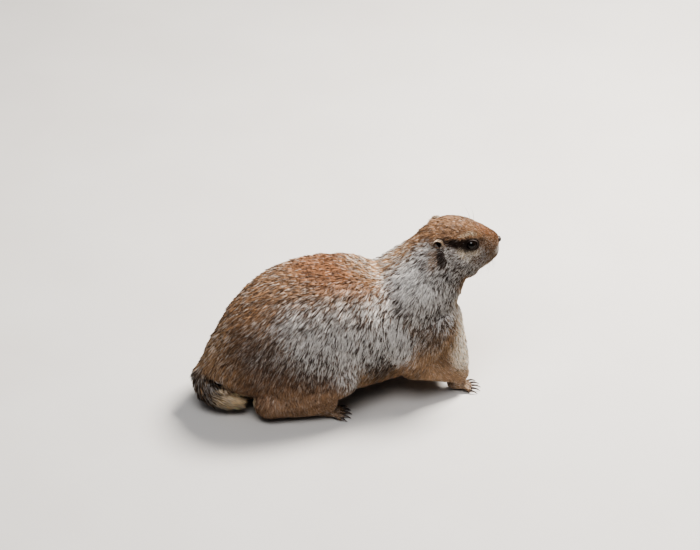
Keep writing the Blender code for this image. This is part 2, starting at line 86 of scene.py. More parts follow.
PICTURE_SIZE = (700, 550)  # pixels
BAKE_MAP = "OFBake"
COAT_COLOUR = "coat_colour"
Point = tuple[float, float, float]
Array = np.ndarray
Thing = bpy.types.Object
Socket = bpy.types.NodeSocket


def mm(*values: float) -> float | Array:
    """One length, or one point, given in millimetres, in metres.

    Args:
        values: one number, or the three numbers of a point.

    Returns:
        The number, or an array of the point's numbers.
    """
    return values[0] * 0.001 if len(values) == 1 else np.array(values, float) * 0.001


def turned(degrees: float, axis: str) -> Matrix:
    """A turn about one axis."""
    return Matrix.Rotation(math.radians(degrees), 4, axis)


def side_name(name: str, side: int) -> str:
    """The piece's name with the side of the animal that it is on."""
    return f"{name}_{'right' if side == RIGHT else 'left'}"


def unit(vectors: Array) -> Array:
    """The vectors at length one."""
    return vectors / np.maximum(np.linalg.norm(vectors, axis=-1, keepdims=True), 1e-12)


def along_surface(vectors: Array, normals: Array) -> Array:
    """What is left of the vectors without their part along the normals."""
    return vectors - normals * (vectors * normals).sum(1, keepdims=True)


def smooth_step(low: float, high: float, values: Array) -> Array:
    """Values eased from 0 at low to 1 at high."""
    t = np.clip((values - low) / (high - low), 0, 1)
    return t * t * (3 - 2 * t)


def nearest(points: Array, places: Iterable[Array]) -> Array:
    """How far each point is from the closest of some places, or one metre if that is less."""
    gap = np.full(len(points), 1.0)
    for place in places:
        gap = np.minimum(gap, np.linalg.norm(points - place, axis=1))
    return gap


def into_frame(frame: Matrix, points: Array) -> Array:
    """The points as seen from a frame that is only moved, turned or mirrored."""
    rows = np.array(frame)
    return (points - rows[:3, 3]) @ rows[:3, :3]


def out_of_frame(frame: Matrix, points: Array) -> Array:
    """Points of such a frame as seen from outside it."""
    rows = np.array(frame)
    return points @ rows[:3, :3].T + rows[:3, 3]


def soft_noise(points: Array, cell: float, seed: int) -> Array:
    """Smooth random values in space.

    Args:
        points: places, one row each.
        cell: how far apart the values change, in the places' own units.
        seed: which pattern.

    Returns:
        One value from -1 to 1 for each place.
    """
    scaled = points / cell + seed * 17.31
    corner = np.floor(scaled)
    ease = scaled - corner
    ease = ease * ease * (3 - 2 * ease)
    total = np.zeros(len(points))
    for step in np.ndindex(2, 2, 2):
        step = np.array(step)
        share = np.prod(np.where(step, ease, 1 - ease), axis=1)
        key = (corner + step) @ np.array((127.1, 311.7, 74.7)) + seed
        total += share * (np.sin(key) * 43758.5453 % 1)
    return 2 * total - 1


class Shade(Enum):
    """The colours of the hair and of the bare skin, as a screen shows them, 0 to 255."""

    SAND = (170, 138, 106)
    CINNAMON = (156, 121, 91)
    RUSSET = (148, 104, 72)
    ASH = (122, 108, 100)
    SMOKE = (84, 70, 63)
    # BUFF and TAWNY are darker than the animal's own buff and tawny, as painted shade for the legs, belly
    # and lower haunch.
    BUFF = (168, 137, 109)
    TAWNY = (128, 97, 75)
    CREAM = (232, 212, 184)
    STRAW = (238, 212, 174)
    WHITE = (244, 240, 234)
    UMBER = (56, 38, 28)
    BLACKISH = (36, 28, 25)
    UNDERFUR = (58, 46, 40)
    HORN = (62, 50, 43)
    LEATHER = (58, 44, 40)

    def light(self) -> Array:
        """The colour as amounts of light, which is what materials and meshes hold."""
        screen = np.array(self.value, float) / 255
        return np.where(screen <= 0.04045, screen / 12.92, ((screen + 0.055) / 1.055) ** 2.4)


@dataclass(frozen=True)
class Places:
    """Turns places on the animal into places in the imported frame."""

    head_place: Point = (109, -6, 143.5)
    head_turn: float = -12  # degrees, about the upright
    eye_place: Point = (0.8, 12.4, -2.6)
    ear_place: Point = (-27.6, 19.6, 1.9)
    nose_place: Point = (24.2, 0, -5.4)
    eye_rise: float = -20  # degrees that the lids slant up to the front
    eye_toe_in: float = 6  # degrees that the gaze turns back
    eye_tilt: float = 20  # degrees that the gaze turns up
    ear_splay: float = 20
    ear_lean: float = -14

    def head_matrix(self) -> Matrix:
        """From the head's own millimetres to the body's."""
        return Matrix.Translation(self.head_place) @ turned(self.head_turn, "Z")

    def shift(self) -> Vector:
        """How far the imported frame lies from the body's own millimetres, from the right eye."""
        low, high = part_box("eye_right")
        eye = Vector((self.eye_place[0], -self.eye_place[1], self.eye_place[2]))
        return (low + high) / 2 - (self.head_matrix() @ eye) * 0.001

    def body(self, place: Point, side: int = LEFT) -> Array:
        """A place on the body, given for the left side."""
        return np.array(self.shift()) + mm(place[0], place[1] * side, place[2])

    def head(self, place: Point, side: int = LEFT) -> Array:
        """A place on the head, given for the left side in the head's own millimetres."""
        on_body = self.head_matrix() @ Vector((place[0], place[1] * side, place[2]))
        return np.array(self.shift()) + mm(*on_body)

    def head_way(self, way: Point, side: int = LEFT) -> Array:
        """A direction on the head, given for the left side."""
        on_body = self.head_matrix().to_3x3() @ Vector((way[0], way[1] * side, way[2]))
        return np.array(on_body.normalized())

    def body_frame(self, side: int = LEFT) -> Matrix:
        """Moves a mesh made for the left side of the body, in metres, to its place and side."""
        return Matrix.Translation(self.shift()) @ Matrix.Diagonal((1, side, 1, 1))

    def head_frame(self, side: int = LEFT) -> Matrix:
        """Moves a mesh made for the left side of the head, in metres, to its place and side."""
        head = self.head_matrix()
        head.translation *= 0.001
        return Matrix.Translation(self.shift()) @ head @ Matrix.Diagonal((1, side, 1, 1))

    def eye_frame(self, side: int = LEFT) -> Matrix:
        """From an eye's own frame: X along the lids to the nose, Y outwards, Z up."""
        place = self.head_frame(side) @ Matrix.Translation(mm(*self.eye_place))
        return place @ turned(self.eye_toe_in, "Z") @ turned(self.eye_tilt, "X") @ turned(self.eye_rise, "Y")

    def ear_frame(self, side: int = LEFT) -> Matrix:
        """From an ear's own frame: X ahead, Y outwards through the cup, Z up."""
        place = self.head_frame(side) @ Matrix.Translation(mm(*self.ear_place))
        return place @ turned(self.ear_splay, "Z") @ turned(self.ear_lean, "Y")


class Part(Enum):
    """Which of the animal's own frames a place is given in, and whether it has a twin."""

    BODY = "body"
    HEAD = "head"
    TAIL = "tail"


class Stroke(NamedTuple):
    """One stroke of the comb: how the hair lies, how long it is and how much it lifts."""

    place: Point
    lie: Point
    length: float  # mm
    lift: float  # degrees at the root


HEAD_STROKES = (
    Stroke((22, 1, -1), (-1, 0.1, 0.3), 1.4, 22),
    Stroke((15, 3, 5), (-1, 0.15, 0.2), 2.2, 24),
    Stroke((16, 9, -6), (-1, 0.35, -0.05), 2.0, 24),
    Stroke((21, 6, -10), (-0.9, 0.5, -0.2), 1.6, 26),
    Stroke((18, 8, -16), (-0.9, 0.35, -0.5), 2.0, 28),
    Stroke((24, 2, -13), (-0.5, 0.3, -0.8), 1.4, 28),
    Stroke((20, 2, -22), (-0.8, 0.2, -0.4), 1.8, 30),
    Stroke((10, 2, -29), (-1, 0.1, -0.2), 2.8, 30),
    Stroke((4, 2, 12), (-1, 0.05, 0.1), 3.2, 26),
    Stroke((-2, 9, 9), (-1, 0.1, 0), 3.0, 26),
    Stroke((-14, 2, 14.5), (-1, 0, 0), 4.2, 28),
    Stroke((-16, 14, 10), (-1, 0.1, -0.25), 4.0, 28),
    Stroke((-10, 20, 0), (-1, 0.15, -0.3), 3.0, 24),
    Stroke((8, 12, -3), (-0.8, 0.4, -0.1), 1.6, 20),
    Stroke((2, 15, -11), (-1, 0.3, -0.35), 2.6, 24),
    Stroke((10, 12, -14), (-1, 0.3, -0.3), 2.4, 26),
    Stroke((-10, 24, -14), (-0.9, 0.1, -0.6), 4.2, 28),
    Stroke((-4, 18, -25), (-0.8, 0.1, -0.7), 4.2, 30),
    Stroke((-20, 24, -24), (-0.7, 0, -0.9), 5.2, 30),
    Stroke((-8, 4, -35), (-1, 0, -0.3), 4.6, 30),
    Stroke((-22, 20, 8), (-1, 0.1, -0.1), 3.4, 28),
    Stroke((-22, 23, -6), (-0.8, 0.15, -0.6), 3.0, 26),
    Stroke((-36, 20, 2), (-1, 0, -0.4), 4.8, 30),
    Stroke((-34, 6, 12), (-1, 0, -0.2), 5.4, 30),
    Stroke((-36, 22, -16), (-0.7, 0, -0.9), 5.6, 30),
)
BODY_STROKES = (
    Stroke((70, 0, 130), (-0.95, 0, -0.35), 6.6, 30),
    Stroke((58, 18, 120), (-0.8, 0.15, -0.75), 7.0, 30),
    Stroke((74, 34, 105), (-0.35, 0.05, -1), 7.0, 30),
    Stroke((95, 26, 95), (-0.15, 0.05, -1), 6.6, 32),
    Stroke((104, 6, 90), (-0.1, 0, -1), 6.6, 34),
    Stroke((103, 8, 70), (-0.15, 0, -1), 7.0, 34),
    Stroke((98, 24, 55), (-0.1, 0.1, -1), 6.5, 32),
    Stroke((45, 0, 118), (-1, 0, -0.15), 7.6, 32),
    Stroke((40, 28, 108), (-0.8, 0.15, -0.7), 8.0, 32),
    Stroke((66, 38, 85), (-0.35, 0, -1), 7.6, 30),
    Stroke((42, 43, 75), (-0.45, 0, -0.95), 8.4, 32),
    Stroke((80, 42, 62), (-0.1, 0, -1), 6.4, 28),
    Stroke((60, 46, 50), (-0.3, 0, -1), 6.4, 28),
    Stroke((48, 44, 36), (-0.6, 0, -0.8), 6.4, 30),
    Stroke((72, 42, 28), (0.5, 0, -0.75), 4.6, 26),
    Stroke((92, 34, 18), (0.6, 0, -0.7), 3.0, 24),
    Stroke((92, 22, 30), (0.2, 0, -1), 4.4, 26),
    Stroke((100, 28, 7), (0.95, 0, -0.35), 1.5, 18),
    Stroke((112, 29, 3.5), (1, 0, -0.1), 1.0, 14),
    Stroke((5, 0, 124), (-1, 0, -0.02), 8.0, 32),
    Stroke((0, 35, 112), (-0.75, 0.15, -0.7), 8.6, 32),
    Stroke((10, 50, 75), (-0.4, 0, -0.95), 8.8, 32),
    Stroke((18, 44, 38), (-0.6, -0.1, -0.7), 7.6, 30),
    Stroke((20, 10, 12), (-1, 0, 0), 5.0, 22),
    Stroke((-30, 10, 9), (-1, 0, 0), 5.0, 22),
    Stroke((-50, 0, 118), (-1, 0, -0.12), 8.2, 32),
    Stroke((-60, 35, 100), (-0.75, 0.15, -0.7), 8.6, 32),
    Stroke((-45, 52, 72), (-0.5, 0.05, -0.9), 8.6, 32),
    Stroke((-15, 54, 62), (-0.3, 0, -0.95), 8.4, 32),
    Stroke((-10, 50, 36), (-0.15, 0, -1), 7.0, 30),
    Stroke((-45, 56, 38), (-0.3, 0, -1), 7.6, 30),
    Stroke((-50, 50, 18), (0.25, 0, -0.8), 5.0, 28),
    Stroke((-75, 42, 26), (-0.2, 0, -1), 6.4, 30),
    Stroke((-92, 36, 45), (-0.5, 0, -0.9), 7.6, 30),
    Stroke((-30, 44, 12), (0.7, 0, -0.5), 3.2, 22),
    Stroke((-20, 44, 6), (0.95, 0, -0.3), 1.7, 16),
    Stroke((-8, 46, 3.5), (1, 0, -0.1), 1.1, 14),
    Stroke((-66, 36, 8), (0.6, 0.1, -0.5), 2.6, 20),
    Stroke((-95, 12, 16), (-1, 0, 0.1), 6.0, 26),
    Stroke((-100, 0, 93), (-0.85, 0, -0.55), 8.2, 32),
    Stroke((-104, 28, 66), (-0.6, 0, -0.85), 8.0, 32),
    Stroke((-120, 6, 52), (-0.4, 0, -0.95), 7.6, 32),
)
TAIL_STROKES = (
    Stroke((-115, 0, 41), (-0.7, -0.05, -0.7), 7.5, 26),
    Stroke((-124, -1, 32), (-0.3, -0.2, -1), 8.0, 24),
    Stroke((-125.5, -7, 23), (0.15, -0.7, -0.75), 9.0, 22),
    Stroke((-115, -17, 16.5), (0.85, -0.5, -0.3), 10.0, 20),
    Stroke((-105, -20.5, 13.5), (1, -0.28, -0.2), 10.5, 19),
    Stroke((-98, -22, 12), (1, -0.2, -0.12), 7.0, 18),
    Stroke((-91, -23, 11), (1, -0.1, -0.1), 4.5, 18),
)


@dataclass
class Hair:
    """What the comb has set at a number of places."""

    lie: Array
    length: Array
    lift: Array


Comb = Callable[[Array, Array], Hair]


@dataclass
class Groom:
    """Reads the comb's strokes anywhere on the body."""

    places: Places
    near: float = mm(4)  # how close a stroke is before it rules alone
    power: float = 2.6
    chunk: int = 20000
    bend_share: float = 0.38  # where along its length a tuft bends
    tip_lift: float = 0.3  # share of the root's lift that the tip keeps
    shorter: float = 0.86  # of the body's hair, once its clumps are drawn together
    _rows: Array = field(init=False, repr=False)

    def __post_init__(self) -> None:
        """Sets every stroke, and its twin on the other side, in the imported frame."""
        rows = []
        for side in SIDES:
            for stroke in HEAD_STROKES:
                way = self.places.head_way(stroke.lie, side)
                rows.append((*self.places.head(stroke.place, side), *way, stroke.length, stroke.lift))
            for stroke in BODY_STROKES:
                x, y, z = stroke.lie
                way = Vector((x, y * side, z)).normalized()
                length = stroke.length * self.shorter
                rows.append((*self.places.body(stroke.place, side), *way, length, stroke.lift))
        for stroke in TAIL_STROKES:
            way = Vector(stroke.lie).normalized()
            rows.append((*self.places.body(stroke.place), *way, stroke.length, stroke.lift))
        self._rows = np.array(rows)

    def at(self, points: Array, normals: Array) -> Hair:
        """The hair at places on a surface.

        Args:
            points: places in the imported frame, one row each.
            normals: the surface's own direction at each.

        Returns:
            The lie along the surface, the length in metres and the lift in radians.
        """
        found = []
        for start in range(0, len(points), self.chunk):
            part = points[start : start + self.chunk]
            gap = ((part[:, None, :] - self._rows[None, :, :3]) ** 2).sum(2)
            weight = 1 / (gap + self.near**2) ** self.power
            found.append((weight @ self._rows[:, 3:]) / weight.sum(1, keepdims=True))
        mixed = np.concatenate(found)
        lie = unit(along_surface(mixed[:, :3], normals))
        return Hair(lie, mixed[:, 3] * 0.001, np.radians(mixed[:, 4]))

    def depth(self, hair: Hair) -> Array:
        """How thick the coat is: how far its tips stand out from the skin."""
        low, high = self.bend_share, 1 - self.bend_share
        return hair.length * (low * np.sin(hair.lift) + high * np.sin(hair.lift * self.tip_lift))


class Mark(NamedTuple):
    """One marking or patch of painted shade: a soft-edged streak of colour between two places."""

    part: Part
    start: Point
    end: Point
    radius: float  # mm
    softness: float  # mm over which its edge fades
    shade: Shade
    strength: float
    frost: float  # share of its hairs with white tips
    dark: float  # share of its hairs with dark tips


B, H, T = Part.BODY, Part.HEAD, Part.TAIL
# Some of these streaks are painted shade or a painted shadow, not the animal's own colour; each is noted
# where it stands.
MARKS = (
    Mark(B, (-70, 34, 6), (70, 26, 8), 20, 18, Shade.BUFF, 0.8, 0.12, 0.08),
    Mark(B, (-100, 0, 92), (50, 0, 122), 28, 30, Shade.CINNAMON, 0.75, 0.24, 0.32),
    # lower haunch: its own tawny hair, made darker as painted shade
    Mark(B, (-98, 34, 42), (-36, 54, 30), 18, 24, Shade.TAWNY, 0.75, 0.16, 0.3),
    Mark(B, (-60, 48, 18), (-20, 52, 22), 10, 20, Shade.BUFF, 0.6, 0.14, 0.1),
    Mark(B, (-118, 6, 60), (-112, 18, 52), 16, 20, Shade.SAND, 0.5, 0.25, 0.25),
    # painted shade: the rump made darker where it turns away from the light
    Mark(B, (-100, 30, 74), (-80, 40, 62), 8, 24, Shade.SMOKE, 0.35, 0.24, 0.3),
    Mark(B, (-14, 0, 124), (44, 6, 114), 14, 22, Shade.RUSSET, 0.85, 0.06, 0.3),
    Mark(B, (-48, 48, 92), (34, 44, 88), 9, 30, Shade.ASH, 0.85, 0.6, 0.32),
    Mark(B, (-30, 54, 74), (36, 45, 66), 9, 24, Shade.ASH, 0.9, 0.72, 0.27),
    Mark(B, (-22, 54, 60), (-8, 54, 46), 6, 14, Shade.ASH, 0.7, 0.6, 0.2),
    # partly the haunch's own dark grey hair, partly painted shade where the haunch turns away from the light
    Mark(B, (-84, 43, 74), (-34, 54, 54), 4, 22, Shade.SMOKE, 0.5, 0.34, 0.36),
    Mark(B, (14, 49, 62), (26, 43, 40), 4, 12, Shade.SMOKE, 0.6, 0.3, 0.4),
    Mark(B, (36, 44, 84), (43, 42, 50), 3.5, 10, Shade.ASH, 0.85, 0.9, 0.12),
    Mark(B, (30, 0, 118), (74, 8, 134), 12, 26, Shade.SAND, 0.6, 0.36, 0.2),
    Mark(B, (52, 30, 112), (74, 36, 98), 14, 20, Shade.ASH, 0.9, 0.76, 0.23),
    Mark(B, (54, 26, 119), (72, 32, 106), 5, 13, Shade.WHITE, 0.5, 0.84, 0.16),
    Mark(B, (82, 30, 112), (86, 34, 88), 9, 14, Shade.ASH, 0.8, 0.62, 0.32),
    # painted shadow: the head's shadow cast on the shoulder
    Mark(B, (72, 38, 84), (66, 42, 66), 5, 13, Shade.SMOKE, 0.6, 0.36, 0.4),
    Mark(B, (58, 40, 30), (90, 32, 18), 10, 20, Shade.BUFF, 0.8, 0.14, 0.08),
    Mark(B, (104, 0, 90), (98, 10, 40), 12, 18, Shade.BUFF, 0.7, 0.3, 0.05),
    Mark(B, (100, 20, 84), (98, 32, 34), 4, 14, Shade.CREAM, 0.8, 0.6, 0.08),
    Mark(B, (-62, 35, 6), (-8, 45, 4), 8, 9, Shade.BUFF, 0.8, 0.35, 0.04),
    Mark(B, (90, 27, 8), (114, 29, 3), 8, 9, Shade.BUFF, 0.8, 0.35, 0.04),
    Mark(T, (-110, 0, 46), (-122, -1, 37), 12, 9, Shade.BUFF, 0.6, 0.2, 0.25),
    Mark(T, (-126, -3, 29), (-123, -11, 21), 8, 8, Shade.BLACKISH, 0.85, 0.25, 0.5),
    Mark(T, (-110, -20, 13.5), (-92, -23, 10), 10, 7, Shade.STRAW, 0.92, 0.3, 0.05),
    Mark(T, (-95, -22, 10), (-89, -24, 10), 5, 8, Shade.BUFF, 0.35, 0.2, 0.06),
    Mark(H, (14, 0, 4), (-36, 0, 8), 14, 11, Shade.CINNAMON, 0.85, 0.1, 0.2),
    Mark(H, (0, 18, -15), (-34, 22, -14), 11, 11, Shade.ASH, 0.85, 0.66, 0.32),
    Mark(H, (17, 8, -7), (10, 11, -12), 6, 8, Shade.CINNAMON, 0.6, 0.45, 0.26),
    Mark(H, (12, 0, 7), (22, 0, 1), 4, 5, Shade.RUSSET, 0.6, 0.14, 0.26),
    # painted shade under the jaw, on the jowl
    Mark(H, (-12, 25, -24), (-4, 20, -25), 5, 9, Shade.SMOKE, 0.5, 0.4, 0.4),
    Mark(H, (12, 0, -29), (-14, 4, -36), 9, 8, Shade.BUFF, 0.8, 0.3, 0.05),
    # dark ring round the eye and stripe back to the ear: partly the animal's own dark brow marking, partly
    # painted shade under the brow ridge
    Mark(H, (-5, 18.8, -3.0), (4.4, 17.4, 1.8), 4.6, 1.7, Shade.UMBER, 0.94, 0.02, 0.5),
    Mark(H, (-8, 19, 1.4), (-16, 19.8, 2.8), 3.3, 2.0, Shade.UMBER, 0.92, 0.04, 0.5),
    Mark(H, (-14, 19.4, 3.5), (-25, 19.4, 4.6), 2.3, 2.2, Shade.UMBER, 0.9, 0.06, 0.4),
    Mark(H, (7, 13, 1), (11, 10.5, 1), 0.9, 2.0, Shade.UMBER, 0.6, 0.1, 0.3),
    Mark(H, (5, 11.5, 6.0), (0.9, 12, 7.2), 0.8, 1.8, Shade.CREAM, 0.75, 0.3, 0.1),
    Mark(H, (0.9, 12, 7.4), (-6.5, 15.6, 6.8), 0.8, 1.8, Shade.CREAM, 0.75, 0.3, 0.1),
    Mark(H, (7, 13.5, -9), (-6, 19, -9), 1.6, 3, Shade.CREAM, 0.6, 0.5, 0.14),
    Mark(H, (-9.5, 20.5, -4), (0, 20.5, -13), 1.4, 2.8, Shade.CREAM, 0.5, 0.45, 0.12),
    Mark(H, (-31, 23, -2), (-31, 26, -15), 2.0, 3, Shade.BUFF, 0.75, 0.3, 0.08),
    # painted shade in the fold under the ear
    Mark(H, (-25.5, 24, -3), (-24, 26, -13), 2.3, 2.8, Shade.UMBER, 0.9, 0.06, 0.5),
    Mark(H, (24, 0, -10), (21, 5, -12), 2.4, 3.4, Shade.WHITE, 0.7, 0.6, 0.04),
    Mark(H, (22, 0, -19), (12, 8, -22), 2.6, 3.4, Shade.CREAM, 0.7, 0.4, 0.04),
    Mark(H, (-27.6, 21, 2.6), (-28, 24, 2.6), 4.0, 1.6, Shade.CREAM, 0.6, 0.25, 0.1),
)


@dataclass
class Hue:
    """The colours that the markings and painted shade give at a number of places."""

    colour: Array
    frost: Array
    dark: Array


@dataclass
class MarkingsAndShade:
    """Paints the animal's markings and some painted shade, one streak over another, for the skin and the
    coat alike.
    """

    places: Places
    wobble: float = mm(2.6)  # how far the edges wander
    wobble_cell: float = mm(6)
    ground_frost: float = 0.18
    ground_dark: float = 0.22
    blotch: float = 0.1  # how much the colour varies in patches
    blotch_cell: float = mm(9)
    broad: float = 8  # mm of radius from which a streak's edge wanders in full

    def ends(self, mark: Mark) -> list[tuple[Array, Array]]:
        """The streak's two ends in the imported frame, on each side that it is on."""
        if mark.part is Part.TAIL:
            return [(self.places.body(mark.start), self.places.body(mark.end))]
        put = self.places.head if mark.part is Part.HEAD else self.places.body
        return [(put(mark.start, side), put(mark.end, side)) for side in SIDES]

    def at(self, points: Array) -> Hue:
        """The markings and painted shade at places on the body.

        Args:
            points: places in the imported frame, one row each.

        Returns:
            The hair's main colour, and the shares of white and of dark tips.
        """
        colour = np.tile(Shade.SAND.light(), (len(points), 1))
        frost = np.full(len(points), self.ground_frost)
        dark = np.full(len(points), self.ground_dark)
        wander = self.wobble * soft_noise(points, self.wobble_cell, 3)
        for mark in MARKS:
            radius, softness = mm(mark.radius), mm(mark.softness)
            for start, end in self.ends(mark):
                along = end - start
                place = np.clip((points - start) @ along / (along @ along), 0, 1)
                gap = np.linalg.norm(points - start - place[:, None] * along, axis=1)
                edge = wander * min(1, mark.radius / self.broad)
                cover = mark.strength * (1 - smooth_step(radius, radius + softness, gap + edge))
                colour += cover[:, None] * (mark.shade.light() - colour)
                frost += cover * (mark.frost - frost)
                dark += cover * (mark.dark - dark)
        patches = 1 + self.blotch * soft_noise(points, self.blotch_cell, 5)
        return Hue(colour * patches[:, None], frost, dark)


def select_only(*things: Thing) -> None:
    """Deselects everything, then selects the things and makes the first one active."""
    if bpy.context.object and bpy.context.object.mode != "OBJECT":
        bpy.ops.object.mode_set(mode="OBJECT")
    bpy.ops.object.select_all(action="DESELECT")
    for thing in things:
        thing.select_set(True)
    bpy.context.view_layer.objects.active = things[0]


def named(thing: Thing, name: str) -> Thing:
    """Names an object and its mesh alike."""
    thing.name = name
    thing.data.name = name
    return thing


def linked(name: str, data: bpy.types.ID) -> Thing:
    """A new object in the scene that holds a mesh, a light or a camera."""
    thing = bpy.data.objects.new(name, data)
    bpy.context.scene.collection.objects.link(thing)
    return thing


def joined(name: str, things: Sequence[Thing]) -> Thing:
    """Joins meshes into one object."""
    select_only(*things)
    bpy.ops.object.join()
    return named(bpy.context.object, name)


def modified(thing: Thing, kind: str, **settings: object) -> Thing:
    """Adds one modifier to an object and applies it.

    Args:
        thing: the object to change.
        kind: the modifier's type.
        settings: the modifier's values by name.

    Returns:
        The same object.
    """
    select_only(thing)
    bpy.ops.object.modifier_add(type=kind)
    modifier = thing.modifiers[-1]
    for name, value in settings.items():
        setattr(modifier, name, value)
    bpy.ops.object.modifier_apply(modifier=modifier.name)
    return thing


def edited(thing: Thing, operator: Callable, **settings: object) -> Thing:
    """Runs one operator of edit mode on the whole of an object.

    Args:
        thing: the object to change.
        operator: what is run.
        settings: the operator's own values by name.

    Returns:
        The same object.
    """
    select_only(thing)
    bpy.ops.object.mode_set(mode="EDIT")
    bpy.ops.mesh.select_all(action="SELECT")
    operator(**settings)
    bpy.ops.object.mode_set(mode="OBJECT")
    return thing


def smoothed(thing: Thing) -> Thing:
    """Shades an object as one smooth surface."""
    select_only(thing)
    bpy.ops.object.shade_smooth()
    return thing


def moved(thing: Thing, place: Matrix) -> Thing:
    """Puts an object's mesh in its place, so that the object stays at the origin."""
    thing.data.transform(place)
    if place.determinant() < 0:
        thing.data.flip_normals()
    return thing


def outward_ball(name: str, segments: int, rings: int, radius: float = 1) -> Thing:
    """A ball whose pole looks outwards, along Y."""
    bpy.ops.mesh.primitive_uv_sphere_add(segments=segments, ring_count=rings, radius=radius)
    return moved(named(bpy.context.object, name), turned(-90, "X"))


def vertex_array(mesh: bpy.types.Mesh, what: str = "co") -> Array:
    """The mesh's vertex places, or their normals, one row each."""
    source = mesh.vertex_normals if what == "normal" else mesh.vertices
    values = np.zeros(len(mesh.vertices) * 3, np.float32)
    source.foreach_get("vector" if what == "normal" else "co", values)
    return values.reshape(-1, 3).astype(float)


def put_vertices(mesh: bpy.types.Mesh, places: Array) -> None:
    """Moves the mesh's vertices to the places."""
    mesh.vertices.foreach_set("co", places.astype(np.float32).ravel())
    mesh.update()


def put_colours(mesh: bpy.types.Mesh, colours: Array) -> None:
    """Gives each vertex of the mesh its colour."""
    layer = mesh.color_attributes.new(COAT_COLOUR, "FLOAT_COLOR", "POINT")
    full = np.concatenate([colours, np.ones((len(colours), 1))], axis=1)
    layer.data.foreach_set("color", full.astype(np.float32).ravel())


@dataclass
class Surface:
    """A skin as arrays, for the coat to grow on."""

    corners: Array
    normals: Array
    triangles: Array

    @classmethod
    def of(cls, thing: Thing) -> Surface:
        """Reads an object whose faces are all triangles."""
        triangles = np.zeros(len(thing.data.polygons) * 3, np.int32)
        thing.data.polygons.foreach_get("vertices", triangles)
        mesh = thing.data
        return cls(vertex_array(mesh), vertex_array(mesh, "normal"), triangles.reshape(-1, 3))

    def part(self, chosen: Array) -> Surface:
        """The surface with only the chosen triangles."""
        return Surface(self.corners, self.normals, self.triangles[chosen])

    def centres(self) -> Array:
        """The middle of each triangle."""
        return self.corners[self.triangles].mean(axis=1)

    def areas(self) -> Array:
        """The area of each triangle."""
        a, b, c = (self.corners[self.triangles[:, k]] for k in range(3))
        return np.linalg.norm(np.cross(b - a, c - a), axis=1) / 2

    def unwrapped(self) -> Array:
        """Where each corner of each triangle lies on a flat unwrap of this surface."""
        used, where = np.unique(self.triangles, return_inverse=True)
        mesh = bpy.data.meshes.new("unwrap")
        mesh.from_pydata(self.corners[used].tolist(), [], where.reshape(-1, 3).tolist())
        thing = linked("unwrap", mesh)
        edited(thing, bpy.ops.uv.smart_project, angle_limit=math.radians(66), island_margin=0.002)
        flat = np.zeros(len(mesh.loops) * 2, np.float32)
        mesh.uv_layers.active.data.foreach_get("uv", flat)
        bpy.data.objects.remove(thing)
        bpy.data.meshes.remove(mesh)
        return flat.reshape(-1, 3, 2)


PAWS = tuple(side_name(name, side) for side in SIDES for name in ("hind_foot", "forepaw"))
EYES = tuple(side_name("eye", side) for side in SIDES)
EARS = tuple(side_name("ear", side) for side in SIDES)
FLESH = (
    "torso", "neck", "head", "nose", "tail_root", "tail_middle", "tail_tip", *EYES,
    *(side_name(name, side) for side in SIDES for name in ("thigh", "shank", "upper_arm", "forearm")),
)
FOLDS = (  # where one mass runs into the next, left side, mm
    ((30, 2, 119), (31, 24, 110), (32, 34, 98), (35, 40, 86)),
    ((-106, 2, 62), (-106, 14, 50), (-104, 20, 36)),
    ((-8, 52, 52), (-6, 50, 40), (-10, 46, 26)),
)


def swept(
    name: str, routes: Sequence[Array], radii: Sequence[Sequence[float]], sides: int = 2
) -> Thing:
    """Round tapering lengths along routes, in one mesh with closed ends.

    Args:
        name: the mesh's name.
        routes: the points of each length, in metres.
        radii: the radius at each of those points.
        sides: how round it is; each step adds two sides to four.

    Returns:
        The new object, at the origin.
    """
    bpy.ops.curve.primitive_nurbs_path_add()
    curve = bpy.context.object
    curve.location = (0, 0, 0)
    curve.data.splines.clear()
    curve.data.bevel_depth, curve.data.bevel_resolution = 1, sides
    curve.data.use_fill_caps, curve.data.dimensions = True, "3D"
    for route, sizes in zip(routes, radii):
        spline = curve.data.splines.new("POLY")
        spline.points.add(len(route) - 1)
        spline.points.foreach_set("co", np.c_[np.array(route), np.ones(len(route))].ravel())
        spline.points.foreach_set("radius", np.array(sizes, float))
    select_only(curve)
    bpy.ops.object.convert(target="MESH")
    made = edited(bpy.context.object, bpy.ops.mesh.normals_make_consistent, inside=False)
    return named(made, name)


def curve_through(knots: Sequence[Sequence[float]], count: int) -> Array:
    """Rows read evenly from a smooth curve through the knots, which are rows of numbers."""
    rows = np.array(knots, float)
    padded = np.vstack([2 * rows[0] - rows[1], rows, 2 * rows[-1] - rows[-2]])
    place = np.linspace(0, len(rows) - 1, count)
    start = np.minimum(place.astype(int), len(rows) - 2)
    t = (place - start)[:, None]
    a, b, c, d = (padded[start + k] for k in range(4))
    bend = (2 * a - 5 * b + 4 * c - d) * t**2 + (3 * b - a - 3 * c + d) * t**3
    return 0.5 * (2 * b + (c - a) * t + bend)


